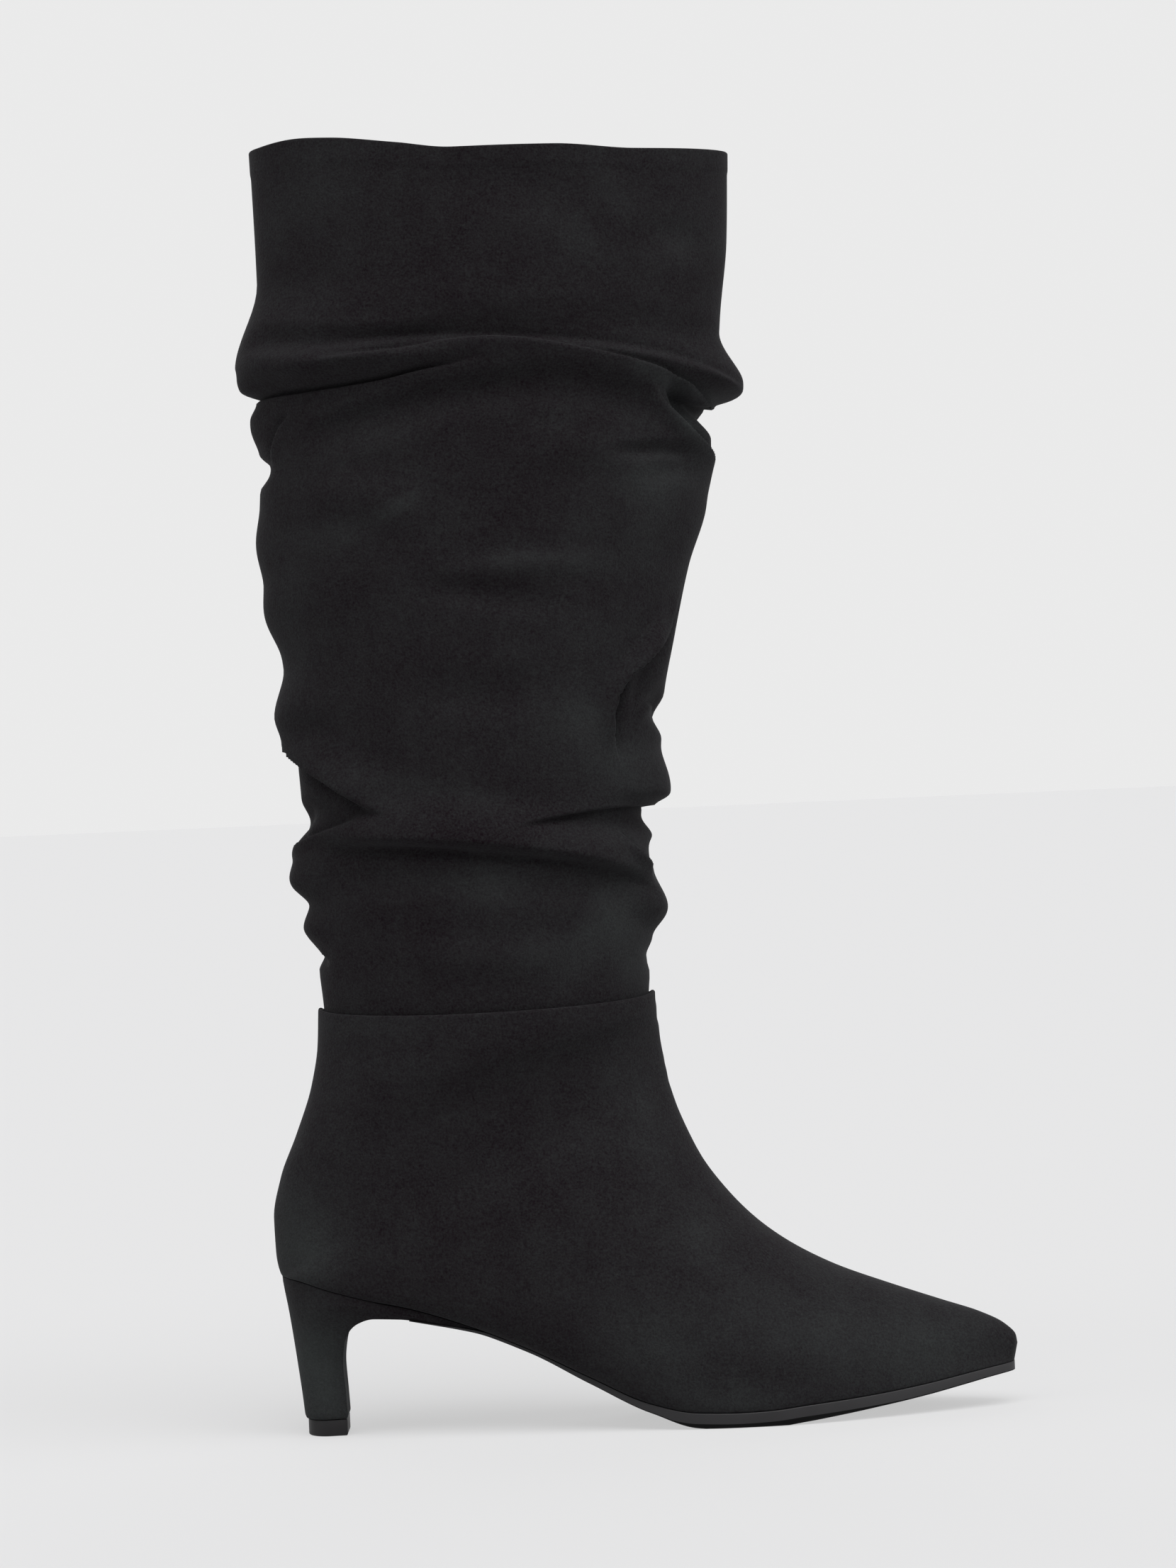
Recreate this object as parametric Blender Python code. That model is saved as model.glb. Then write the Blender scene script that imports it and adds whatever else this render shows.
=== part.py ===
"""Slouch boot for the right foot, standing empty on its heel tip and the ball of its sole.

Metres, +Z up, +X towards the toe, -Y the outer side of the foot. The origin is the centre of the
heel tip's underside. Six pieces: foot upper, slouched shaft, insole, outsole, covered heel and
heel tip. Tables are read on smooth curves; their first row names the columns.
"""

import math

import bmesh
import bpy
import numpy as np

MM = 0.001

# Driving sizes of the last and the leg
FOOT_LENGTH = 0.2515      # back of the heel to the tip of the toe
HEEL_BACK = -0.0155       # place of the back of the heel along X
BALL_WIDTH = 0.078
HEEL_HEIGHT = 0.0547      # floor to the back of the seat
INSTEP_HEIGHT = 0.144     # floor to the folded top edge of the foot part
COLLAR_HEIGHT = 0.431     # floor to the collar at the front

# Walls and clearances
UPPER_WALL = 1.8 * MM
SHAFT_WALL = 1.5 * MM
GAP = 0.3 * MM
SOLE_MARGIN = 0.7 * MM    # how far the sole's edge stands out past the upper
SOLE_BEVEL = 1.4 * MM
INSOLE_THICK = 2.0 * MM
INSOLE_INSET = 2.8 * MM
INSOLE_TIP = 3.0 * MM     # half width at which the insole is cut off at toe and heel
BEVEL_DEEP = 0.4          # most of the sole's thickness, and of its half width, that
BEVEL_WIDE = 0.5          # the bevel may take where the sole runs thin or narrow
LIFT_HEIGHT = 5.5 * MM
LIFT_INSET = 1.3 * MM
LIFT_BEVEL = 0.6 * MM

# How finely the pieces are divided
AROUND = 36
MERGED = 0.001 * MM       # points nearer than this are one
DISC_POINTS = 15          # places at which the insole's clear distance is tried
KEEL_POINTS = 7           # sections that are averaged for one point of the keel

# Where the upper meets the sole, seen from the side and from above.
# along: % of foot length, height: % of heel height, thick: sole in mm,
# middle and half: centre line and half width, % of ball width
FEATHER = (
    ("along", "height", "thick", "middle", "half"),
    (0.8, 100.0, 2.2, 0.0, 0.0),
    (3.0, 98.6, 2.2, 0.0, 21.8),
    (7.4, 92.5, 2.2, 0.0, 31.4),
    (12.9, 85.6, 2.2, -0.4, 34.4),
    (18.1, 80.0, 2.2, -1.3, 33.3),
    (26.8, 67.8, 2.4, -3.2, 29.5),
    (34.0, 53.6, 2.5, -4.2, 27.6),
    (41.9, 34.4, 3.0, -3.8, 30.8),
    (49.9, 17.6, 4.0, -2.6, 38.5),
    (55.9, 11.0, 5.7, -1.0, 44.6),
    (61.8, 9.9, 6.2, 0.4, 47.7),
    (65.8, 10.4, 6.2, 1.0, 47.9),
    (70.6, 12.2, 5.9, 1.9, 46.2),
    (76.1, 14.0, 5.2, 2.9, 41.7),
    (81.7, 15.8, 4.3, 3.8, 35.3),
    (87.3, 18.8, 3.9, 4.6, 27.9),
    (92.0, 22.0, 3.6, 5.1, 20.8),
    (96.0, 24.7, 3.3, 5.4, 14.1),
    (98.4, 26.0, 3.2, 5.5, 8.3),
    (99.5, 26.5, 3.2, 5.5, 0.0),
)

# Sections through the foot part, fanned from the tip of the toe round to the top edge.
# base and ridge: the lowest and highest point of each section, % of foot length and of
# heel or instep height; outer and inner: greatest half width, lean: side shift of the
# ridge, all % of ball width; widest: where that width lies, % of the way up;
# low and high: 100 is an ellipse, less is squarer, more is keener
SECTIONS = (
    ("step", "base", "base_height", "ridge", "ridge_height",
     "outer", "inner", "lean", "widest", "low", "high"),
    (0, 99.5, 26.5, 100.0, 14.0, 0.0, 0.0, 5.5, 45, 90, 90),
    (1, 99.0, 26.2, 99.8, 16.0, 6.3, 6.3, 5.5, 45, 90, 90),
    (2, 98.0, 25.7, 98.2, 18.9, 10.6, 10.6, 5.5, 44, 90, 90),
    (3, 95.6, 24.4, 95.0, 21.8, 15.9, 15.9, 5.6, 42, 90, 92),
    (4, 91.3, 21.2, 89.9, 25.0, 23.3, 23.3, 5.6, 38, 90, 95),
    (5, 84.9, 16.9, 83.0, 29.4, 33.0, 33.0, 5.6, 33, 90, 100),
    (6, 77.7, 14.4, 75.6, 34.6, 42.0, 42.0, 5.5, 28, 90, 105),
    (7, 70.6, 12.2, 69.3, 40.8, 48.3, 48.5, 5.2, 25, 90, 108),
    (8, 64.2, 10.0, 64.8, 47.1, 50.0, 50.3, 4.6, 25, 90, 110),
    (9, 57.1, 10.4, 61.1, 54.3, 48.7, 49.0, 4.0, 27, 90, 110),
    (10, 49.1, 19.0, 58.4, 61.1, 46.2, 46.5, 3.2, 31, 90, 110),
    (11, 40.0, 38.8, 56.7, 67.2, 44.9, 44.2, 2.6, 36, 90, 108),
    (12, 27.0, 67.5, 55.2, 73.8, 44.2, 43.2, 1.9, 40, 90, 106),
    (13, 18.5, 79.5, 54.6, 77.3, 44.0, 43.0, 1.5, 43, 90, 104),
    (14, 10.9, 87.9, 54.2, 79.9, 43.8, 43.2, 1.2, 45, 88, 102),
    (15, 5.0, 96.2, 54.0, 82.2, 43.2, 43.0, 1.0, 46, 86, 101),
    (16, 2.0, 99.3, 53.8, 84.0, 42.8, 42.8, 0.8, 47, 85, 100),
    (17, 0.8, 100.0, 53.7, 85.4, 42.6, 42.6, 0.6, 48, 85, 100),
    (18, 0.1, 113.3, 53.5, 87.5, 42.6, 42.6, 0.4, 49, 86, 100),
    (19, 0.0, 135.3, 53.3, 90.3, 43.0, 43.0, 0.2, 50, 88, 100),
    (20, 1.2, 160.9, 53.2, 92.9, 44.0, 44.0, 0.0, 50, 91, 100),
    (21, 3.5, 186.5, 53.0, 95.1, 46.8, 46.8, 0.0, 50, 94, 100),
    (22, 5.8, 215.7, 53.0, 97.2, 50.0, 50.0, 0.0, 50, 98, 100),
    (23, 6.9, 241.3, 52.9, 99.3, 51.2, 51.2, 0.0, 50, 100, 100),
    (24, 7.2, 263.3, 52.9, 100.8, 51.3, 51.3, 0.0, 50, 100, 100),
)
LIP_END = 12              # the section at which the heel's lip meets the outsole
SEAT_BACK = 17            # the section where the open underside ends at the back of the seat
LAST_SECTION = 24
KEEL_WINDOW = 1.6         # how many sections to each side the keel is averaged over
KEEL_REACH = 6            # how fast a section leaves its true edge for the keel
RIM_STEPS = [*range(LIP_END)] + [LIP_END + i / 2 for i in range(2 * (SEAT_BACK - LIP_END) + 1)]

# The leg before it slouches, in mm: front and back along X, half width across
LEG = (
    ("height", "front", "back", "half"),
    (137.0, 114.8, 5.0, 36.8),
    (144.0, 115.3, 4.7, 37.8),
    (155.0, 116.4, 3.8, 38.9),
    (180.0, 118.8, 1.4, 40.8),
    (205.0, 119.0, 0.5, 42.3),
    (225.0, 122.8, -0.4, 43.5),
    (245.0, 124.8, -2.7, 44.6),
    (265.0, 129.2, -4.6, 45.6),
    (290.0, 135.4, -8.3, 46.5),
    (310.0, 141.3, -10.0, 47.0),
    (330.0, 144.5, -9.0, 47.3),
    (350.0, 147.5, -9.0, 47.3),
    (375.0, 149.8, -7.4, 47.2),
    (400.0, 153.0, -7.5, 46.6),
    (440.0, 154.8, -8.3, 46.0),
)

# The collar's edge round the leg: 0 is the front, 90 the outer side, 180 the back
COLLAR = (
    ("turn", "height"),
    (0.0, 431.0),
    (40.0, 429.6),
    (85.0, 430.0),
    (111.0, 433.0),
    (147.0, 437.0),
    (180.0, 439.0),
    (230.0, 437.5),
    (290.0, 434.0),
    (360.0, 431.0),
)
COLLAR_SETTLES = 375 * MM  # below this height the collar's slant is not felt

# Folds of the leg. Each runs through three points, as turn in degrees and height in mm, in
# the direction of growing turn. reach: how far it stands out, or in where negative, over
# and under: its width above and below, sag: how far it hangs down, or up where negative,
# ends: share of its length over which it fades, all in mm but the last
FOLDS = (
    ("turn_1", "height_1", "turn_2", "height_2", "turn_3", "height_3",
     "reach", "over", "under", "sag", "ends"),
    # upper fold, whose lip runs from the back down into the bulge at the front
    (-5, 348, 75, 367, 150, 367, 5.0, 6, 17, -2.5, 0.20),
    (-8, 359, 70, 375, 158, 375, -3.5, 8, 6, 0.0, 0.22),
    (-64, 351, 2, 351, 44, 356, 9.4, 13, 8, 2.6, 0.40),
    (6, 372, 17, 371, 30, 376, 2.2, 5, 5, 0.0, 0.35),
    # lens of cloth below it, wrapped round the back and overhanging a deep crease
    (92, 363, 146, 364, 256, 371, 8.7, 22, 9, 2.0, 0.35),
    (148, 357, 180, 358, 216, 360, 5.0, 9, 8, 0.0, 0.40),
    (100, 355, 142, 349, 235, 350, -3.5, 5, 6, 0.0, 0.30),
    (152, 343, 178, 344, 214, 341, 3.0, 7, 9, 1.0, 0.40),
    (155, 329, 182, 328, 215, 331, -4.5, 6, 7, 0.0, 0.40),
    # hollow under the front bulge and the ridge that leaves it downwards
    (-30, 338, 8, 340, 44, 350, -7.5, 6, 7, 0.0, 0.35),
    (-35, 322, 6, 327, 45, 347, 2.4, 7, 14, 1.0, 0.35),
    # soft relief of the middle of the leg
    (56, 291, 80, 295, 100, 288, 1.6, 8, 7, 0.0, 0.45),
    (68, 277, 84, 282, 102, 288, -2.0, 7, 7, 0.0, 0.45),
    (100, 300, 122, 316, 150, 310, 1.8, 12, 12, 0.0, 0.45),
    (40, 318, 62, 330, 90, 322, 1.5, 12, 12, 0.0, 0.45),
    (150, 292, 185, 303, 225, 296, 1.8, 14, 14, 0.0, 0.45),
    (55, 258, 85, 248, 120, 256, -1.5, 12, 12, 0.0, 0.45),
    (60, 402, 85, 418, 110, 410, -1.2, 14, 14, 0.0, 0.45),
    # pinch at the front seam
    (19, 274, 36, 254, 41, 231, 3.5, 7, 9, 0.0, 0.35),
    (-25, 236, 8, 240, 30, 244, -3.5, 8, 8, 0.0, 0.40),
    # big bulge of the back and its slanting lower edge
    (128, 246, 180, 244, 236, 247, 4.6, 14, 10, 1.0, 0.40),
    (112, 208, 142, 224, 196, 245, 4.0, 14, 6, 3.0, 0.35),
    (158, 208, 182, 208, 216, 208, -3.6, 7, 6, 0.0, 0.40),
    (128, 207, 150, 213, 190, 208, -4.0, 6, 9, 0.0, 0.35),
    # front bulge over its overhanging crease
    (-55, 213, 2, 216, 52, 216, 4.8, 16, 8, 3.0, 0.40),
    (-40, 206, 20, 207, 78, 202, -3.0, 5, 6, 0.0, 0.35),
    # lowest big fold, hanging over the ankle
    (18, 185, 178, 199, 340, 184, 5.5, 16, 7, 4.0, 0.12),
    (26, 178, 85, 187, 158, 188, -2.5, 6, 9, 0.0, 0.30),
    (202, 186, 265, 183, 334, 176, -2.5, 6, 9, 0.0, 0.30),
    (146, 186, 180, 187, 216, 186, 3.5, 10, 8, 0.0, 0.40),
    (132, 209, 160, 204, 206, 196, 3.0, 6, 6, 0.5, 0.40),
    (-34, 175, 4, 176, 40, 185, 4.6, 12, 12, 1.5, 0.40),
    (14, 190, 27, 193, 36, 202, 2.5, 5, 5, 0.0, 0.40),
    (-28, 192, 2, 193, 16, 191, -3.0, 6, 6, 0.0, 0.40),
    # slack above the foot part's top edge
    (146, 171, 180, 173, 220, 172, 3.0, 8, 7, 1.0, 0.40),
    (150, 162, 180, 163, 216, 163, -2.5, 6, 6, 0.0, 0.40),
    (-30, 158, 0, 158, 26, 159, -1.6, 6, 7, 0.0, 0.40),
    (45, 164, 85, 160, 130, 166, 1.2, 10, 10, 0.0, 0.45),
    # inner side of the leg, which lies much the same
    (196, 364, 265, 371, 340, 353, 5.0, 7, 16, -2.0, 0.25),
    (200, 374, 265, 380, 342, 362, -3.2, 8, 6, 0.0, 0.25),
    (240, 346, 275, 336, 318, 342, 2.5, 9, 12, 1.0, 0.40),
    (205, 236, 262, 226, 320, 214, 4.5, 15, 7, 3.5, 0.30),
    (212, 226, 262, 216, 322, 205, -3.0, 6, 7, 0.0, 0.30),
    (235, 300, 270, 288, 310, 298, 1.8, 12, 12, 0.0, 0.45),
    (230, 268, 268, 258, 312, 270, -1.6, 12, 12, 0.0, 0.45),
)
MM_PER_DEGREE = 1.08      # mean length of one degree of turn round the leg
FOLD_STEPS = 28           # points at which a fold's path is tried for the nearest

# Lines round the leg that the mesh follows, in mm, at each turn: the lowest big fold, the
# crease above it, the deep crease and the lip of the upper fold
LINES = (
    ("turn", "low", "middle", "crease", "lip"),
    (0, 178, 212, 338, 348),
    (20, 182, 211, 341, 351),
    (45, 188, 209, 349, 357),
    (75, 194, 204, 356, 366),
    (100, 197, 205, 355, 369),
    (130, 199, 213, 351, 367),
    (160, 198, 227, 350, 367),
    (190, 196, 232, 350, 368),
    (225, 194, 232, 350, 370),
    (265, 191, 226, 343, 371),
    (310, 187, 215, 339, 363),
    (340, 181, 212, 338, 352),
    (360, 178, 212, 338, 348),
)

# The leg's rings from below: a line or none, its height or the height above it in mm, and
# the number of rings up to the next
RINGS = (
    ("", 137, 1),
    ("", 144, 5),
    ("low", -12, 5),
    ("low", 5, 3),
    ("middle", -3, 2),
    ("middle", 6, 5),
    ("", 254, 6),
    ("", 322, 4),
    ("crease", -3, 4),
    ("lip", -2, 4),
    ("lip", 14, 2),
    ("", 396, 3),
    ("", 431, 0),
)

# Level sections through the covered heel, slanting forward into the lip, in mm.
# waist: half width, at which share of the way forward it is reached; seat: how far the
# section has turned from the heel's own outline, 0, into the seat's, 100
HEEL = (
    ("step", "back", "back_height", "breast", "breast_height", "waist", "seat"),
    (0, -7.3, 5.8, 6.9, 5.8, 11.0, 0),
    (1, -7.7, 6.8, 7.2, 6.8, 11.5, 0),
    (2, -8.4, 14.0, 6.9, 14.0, 11.8, 0),
    (3, -9.6, 25.0, 6.4, 23.5, 13.2, 0),
    (4, -10.6, 34.0, 7.1, 30.5, 15.8, 6),
    (5, -11.3, 40.0, 9.0, 35.5, 18.3, 16),
    (6, -11.8, 44.0, 12.6, 38.8, 20.4, 30),
    (7, -12.3, 47.3, 18.0, 40.3, 22.4, 46),
    (8, -12.7, 49.8, 26.5, 40.0, 24.2, 62),
    (9, -13.0, 51.8, 38.0, 37.9, 25.7, 80),
    (10, -13.3, 53.2, 52.4, 34.2, 26.7, 96),
    (11, -13.5, 54.4, 52.4, 36.6, 27.0, 100),
)
HEEL_FULL = 0.55          # share of the way forward at which a heel section is widest
BREAST_SHARE = 0.93       # width of the breast against the widest part
SEAT_JOINS = 0.9          # from this share of the way to the seat, the heel takes its curve

SUEDE_BLACK = (0.0130, 0.0130, 0.0142)
LINING_BLACK = (0.0200, 0.0190, 0.0190)
RUBBER_BLACK = (0.0100, 0.0100, 0.0105)


def clear_scene():
    for item in list(bpy.data.objects):
        bpy.data.objects.remove(item)


def read(table, name, at):
    """A column of a table at any place along its first column.

    The curve runs through every row with no overshoot between them: each row's slope is
    the harmonic mean of the slopes on its two sides, or level at a turning point.
    """
    rows = np.array(table[1:], dtype=float)
    place = rows[:, 0]
    value = rows[:, table[0].index(name)]
    step = np.diff(place)
    slope = np.diff(value) / step
    before, after = slope[:-1], slope[1:]
    same_way = before * after > 0
    total = np.where(same_way, before + after, 1.0)
    mean = np.where(same_way, 2 * before * after / total, 0.0)
    tangent = np.concatenate(([slope[0]], mean, [slope[-1]]))
    at = np.clip(at, place[0], place[-1])
    i = np.clip(np.searchsorted(place, at, side="right") - 1, 0, len(place) - 2)
    s = (at - place[i]) / step[i]
    rise = step[i] * s * (1 - s)
    steady = value[i] + (value[i + 1] - value[i]) * s * s * (3 - 2 * s)
    return steady + rise * (tangent[i] * (1 - s) - tangent[i + 1] * s)


def along(percent):
    return HEEL_BACK + FOOT_LENGTH * percent / 100


def feather_height(x):
    percent = (x - HEEL_BACK) / FOOT_LENGTH * 100
    return HEEL_HEIGHT * read(FEATHER, "height", percent) / 100


def feather_middle(x):
    percent = (x - HEEL_BACK) / FOOT_LENGTH * 100
    return BALL_WIDTH * read(FEATHER, "middle", percent) / 100


def feather_half(x):
    """Half width of the upper where it meets the sole, with round ends.

    The square of the width is what is read off the curve, so that the toe and the seat
    close with an upright tangent.
    """
    squares = [FEATHER[0]] + [row[:4] + (row[4] ** 2,) for row in FEATHER[1:]]
    percent = (x - HEEL_BACK) / FOOT_LENGTH * 100
    return BALL_WIDTH * np.sqrt(np.maximum(read(squares, "half", percent), 0.0)) / 100


def half_inside(x, inset):
    """Half width of a shape that keeps the same distance inside the edge all round.

    It is the edge worn back by a disc whose radius is that distance.
    """
    shift = np.linspace(-inset, inset, DISC_POINTS)
    return np.min(feather_half(x + shift) - np.sqrt(inset * inset - shift * shift))


def sole_thickness(x):
    percent = (x - HEEL_BACK) / FOOT_LENGTH * 100
    return read(FEATHER, "thick", percent) * MM


def section_base(step):
    """Where a section starts, as rows of x, z, half width of the opening and its middle."""
    x = along(read(SECTIONS, "base", step))
    back_z = HEEL_HEIGHT * read(SECTIONS, "base_height", step) / 100
    closed = step >= SEAT_BACK
    z = np.where(closed, back_z, feather_height(x))
    edge = np.where(closed, 0.0, feather_half(x))
    middle = np.where(closed, 0.0, feather_middle(x))
    return np.stack([x, z, edge, middle])


def section_keel(step):
    """The bases averaged over the sections beside each, which rounds the corner at the seat."""
    room = np.minimum(step, LAST_SECTION - step)
    window = np.minimum(KEEL_WINDOW, room)
    shares = np.linspace(-1, 1, KEEL_POINTS)
    return sum(section_base(step + share * window) for share in shares) / len(shares)


def foot_surface(step, way):
    """A point of the foot part: step runs over the sections, way from -1 to 1 across.

    Each section lies near the plane of Y and the line from its base up to its ridge. From
    the sole's edge it swells to its greatest half width on one quarter of a superellipse
    and closes over the ridge on another. -1 and 1 are the sole's edge on the outer and
    inner side, and 0 is the ridge. The section stands on the rounded keel, and only close
    to the sole does it turn to the true edge.
    """
    base = section_base(step)
    keel = section_keel(step)
    ridge_x = along(read(SECTIONS, "ridge", step))
    ridge_z = INSTEP_HEIGHT * read(SECTIONS, "ridge_height", step) / 100
    lean = BALL_WIDTH * read(SECTIONS, "lean", step) / 100
    outer = BALL_WIDTH * read(SECTIONS, "outer", step) / 100
    inner = BALL_WIDTH * read(SECTIONS, "inner", step) / 100
    half = np.where(way < 0, outer, inner)
    widest = read(SECTIONS, "widest", step) / 100
    low = read(SECTIONS, "low", step) / 100
    high = read(SECTIONS, "high", step) / 100

    climb = 1 - np.abs(way)
    up = np.clip(climb / widest, 0, 1) * math.pi / 2
    over = np.clip((climb - widest) / (1 - widest), 0, 1) * math.pi / 2
    lower = widest * (1 - np.maximum(np.cos(up), 0.0) ** low)
    upper = widest + (1 - widest) * np.sin(over) ** high
    share = np.where(climb < widest, lower, upper)
    x, z, edge, middle = keel + (base - keel) * (1 - share) ** KEEL_REACH
    swell = edge + (half - edge) * np.sin(up) ** low
    shut = half * np.maximum(np.cos(over), 0.0) ** high
    across = np.where(climb < widest, swell, shut)

    x = x + (ridge_x - x) * share
    y = middle + (lean - middle) * share + np.sign(way) * across
    z = z + (ridge_z - z) * share
    return np.stack([x, y, z], axis=-1)


def fold_path(row, count):
    """Points along a fold, on the curve of second degree through its three places."""
    t = np.linspace(0, 1, count)
    first = np.array([row["turn_1"] * MM_PER_DEGREE, row["height_1"]])
    mid = np.array([row["turn_2"] * MM_PER_DEGREE, row["height_2"]])
    last = np.array([row["turn_3"] * MM_PER_DEGREE, row["height_3"]])
    pull = 2 * mid - (first + last) / 2
    t = t[:, None]
    return (1 - t) ** 2 * first + 2 * t * (1 - t) * pull + t ** 2 * last


def fold_strength(row, turn, height):
    """How strongly a fold is felt at each place, from 0 to 1.

    The fold falls off from its path as half a cosine wave, over its own widths above and
    below, and fades towards both ends.
    """
    path = fold_path(row, FOLD_STEPS)
    centre = row["turn_2"]
    near = (turn - centre + 180) % 360 - 180 + centre
    place = np.stack([near * MM_PER_DEGREE, height], axis=-1)
    away = place[..., None, :] - path
    nearest = np.argmin((away ** 2).sum(axis=-1), axis=-1)
    heading = np.gradient(path, axis=0)
    heading /= np.linalg.norm(heading, axis=1, keepdims=True)
    offset = np.take_along_axis(away, nearest[..., None, None], axis=-2)[..., 0, :]
    ahead = heading[nearest]
    side = ahead[..., 0] * offset[..., 1] - ahead[..., 1] * offset[..., 0]
    distance = np.linalg.norm(offset, axis=-1)
    width = np.where(side > 0, row["over"], row["under"])
    share = nearest / (FOLD_STEPS - 1)
    to_end = np.clip(np.minimum(share, 1 - share) / row["ends"], 0, 1)
    fade = to_end * to_end * (3 - 2 * to_end)
    return fade * (0.5 + 0.5 * np.cos(np.pi * np.clip(distance / width, 0, 1)))


def leg_surface(turn, height):
    """A point of the slouched leg, from the turn in degrees and the height before slouching.

    The smooth leg is an ellipse at each height. Every fold pushes it out or in along the
    ellipse's own normal and lets it hang.
    """
    reach = np.zeros_like(height)
    sag = np.zeros_like(height)
    level = height / MM
    for values in FOLDS[1:]:
        row = dict(zip(FOLDS[0], values))
        strength = fold_strength(row, turn, level)
        reach += row["reach"] * strength
        sag += row["sag"] * strength
    front = read(LEG, "front", level)
    back = read(LEG, "back", level)
    half = read(LEG, "half", level)
    long_half = (front - back) / 2
    angle = np.radians(turn)
    flat_x = np.cos(angle) / long_half
    flat_y = np.sin(angle) / half
    size = np.hypot(flat_x, flat_y)
    x = (front + back) / 2 + long_half * np.cos(angle) + reach * flat_x / size
    y = -(half * np.sin(angle) + reach * flat_y / size)
    lift = read(COLLAR, "height", turn % 360) * MM - COLLAR_HEIGHT
    rise = np.clip((height - COLLAR_SETTLES) / (COLLAR_HEIGHT - COLLAR_SETTLES), 0, 1)
    z = level - sag + lift * rise * rise / MM
    return np.stack([x, y, z], axis=-1) * MM


def material(name, colour, roughness):
    made = bpy.data.materials.new(name)
    made.use_nodes = True
    shader = made.node_tree.nodes["Principled BSDF"]
    shader.inputs["Base Color"].default_value = (*colour, 1.0)
    shader.inputs["Roughness"].default_value = roughness
    shader.inputs["Metallic"].default_value = 0.0
    made.diffuse_color = (*colour, 1.0)
    return made


def finish(name, bm, made_of):
    """Turn a bmesh into a named object, with the points that fall together made one."""
    bmesh.ops.remove_doubles(bm, verts=bm.verts, dist=MERGED)
    bmesh.ops.dissolve_degenerate(bm, edges=bm.edges, dist=MERGED)
    mesh = bpy.data.meshes.new(name)
    bm.to_mesh(mesh)
    bm.free()
    mesh.materials.append(made_of)
    mesh.shade_smooth()
    mesh.set_sharp_from_angle(angle=math.radians(40))
    piece = bpy.data.objects.new(name, mesh)
    bpy.context.scene.collection.objects.link(piece)
    return piece


def sheet(points, wrap):
    """A bmesh skin over a grid of points, joined round in its second direction if wrapped."""
    bm = bmesh.new()
    rows, columns = points.shape[:2]
    grid = [[bm.verts.new(points[i, j]) for j in range(columns)] for i in range(rows)]
    last = columns if wrap else columns - 1
    for i in range(rows - 1):
        for j in range(last):
            k = (j + 1) % columns
            bm.faces.new((grid[i][j], grid[i][k], grid[i + 1][k], grid[i + 1][j]))
    return bm


def loft(rings):
    """A closed solid through rings of points, each end closed by strips across the ring.

    Each ring starts at its middle point on the centre line and runs round one side to the
    opposite middle point and back, so that points face each other across the piece.
    """
    bm = bmesh.new()
    grid = [[bm.verts.new(point) for point in ring] for ring in rings]
    count = len(grid[0])
    for low, high in zip(grid, grid[1:]):
        for j in range(count):
            k = (j + 1) % count
            bm.faces.new((low[j], low[k], high[k], high[j]))
    for ring in (grid[0], grid[-1]):
        bm.faces.new((ring[0], ring[1], ring[-1]))
        for j in range(1, count // 2 - 1):
            bm.faces.new((ring[j], ring[j + 1], ring[-j - 1], ring[-j]))
        middle = count // 2
        bm.faces.new((ring[middle - 1], ring[middle], ring[middle + 1]))
    bmesh.ops.recalc_face_normals(bm, faces=bm.faces)
    return bm


def hollow(piece, wall):
    """Give a skin its real thickness, measured inwards."""
    thick = piece.modifiers.new("wall", "SOLIDIFY")
    thick.thickness = wall
    thick.offset = -1.0
    thick.use_even_offset = True
    thick.use_rim = True
    thick.use_quality_normals = True


def build_upper(suede):
    """The foot part: one hollow suede piece from toe to ankle, open above and below."""
    steps = np.array(RIM_STEPS + [*range(SEAT_BACK + 1, LAST_SECTION + 1)], dtype=float)
    ways = np.linspace(-1, 1, AROUND + 1)
    step, way = np.meshgrid(steps, ways, indexing="ij")
    upper = finish("upper", sheet(foot_surface(step, way), wrap=False), suede)
    hollow(upper, UPPER_WALL)
    return upper


def build_shaft(suede):
    """The slouched leg: one suede tube tucked inside the foot part's top edge."""
    turns = -np.arange(AROUND) * 360 / AROUND
    bands = []
    for line, offset, count in RINGS:
        follow = read(LINES, line, turns % 360) if line else 0.0
        bands.append((np.full(AROUND, float(offset)) + follow, count))
    rings = [bands[0][0]]
    for (low, count), (high, _) in zip(bands, bands[1:]):
        rings += [low + (high - low) * (i + 1) / count for i in range(count)]
    height = np.array(rings) * MM
    turn = np.broadcast_to(turns, height.shape)
    shaft = finish("shaft", sheet(leg_surface(turn, height), wrap=True), suede)
    hollow(shaft, SHAFT_WALL)
    return shaft


def rim_places(first, last):
    """Where the upper's sections between two steps stand on the sole, toe first."""
    steps = [step for step in RIM_STEPS if first <= step <= last]
    return along(read(SECTIONS, "base", np.array(steps, dtype=float)))


def build_outsole(rubber):
    """The outsole, from the lip of the heel to the toe, flat on the floor at the ball."""
    places = rim_places(0, LIP_END)
    places[-1] += GAP
    rings = []
    for x in places:
        top = feather_height(x) - GAP
        low = max(feather_height(x) - sole_thickness(x), 0.0)
        half = feather_half(x) + SOLE_MARGIN
        bevel = min(SOLE_BEVEL, (top - low) * BEVEL_DEEP)
        slope = min(bevel, half * BEVEL_WIDE)
        middle = feather_middle(x)
        ring = [
            (x, middle, low),
            (x, middle + half - slope, low),
            (x, middle + half, low + bevel),
            (x, middle + half, top),
            (x, middle, top),
            (x, middle - half, top),
            (x, middle - half, low + bevel),
            (x, middle - half + slope, low),
        ]
        rings.append(ring)
    return finish("outsole", loft(rings), rubber)


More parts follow.
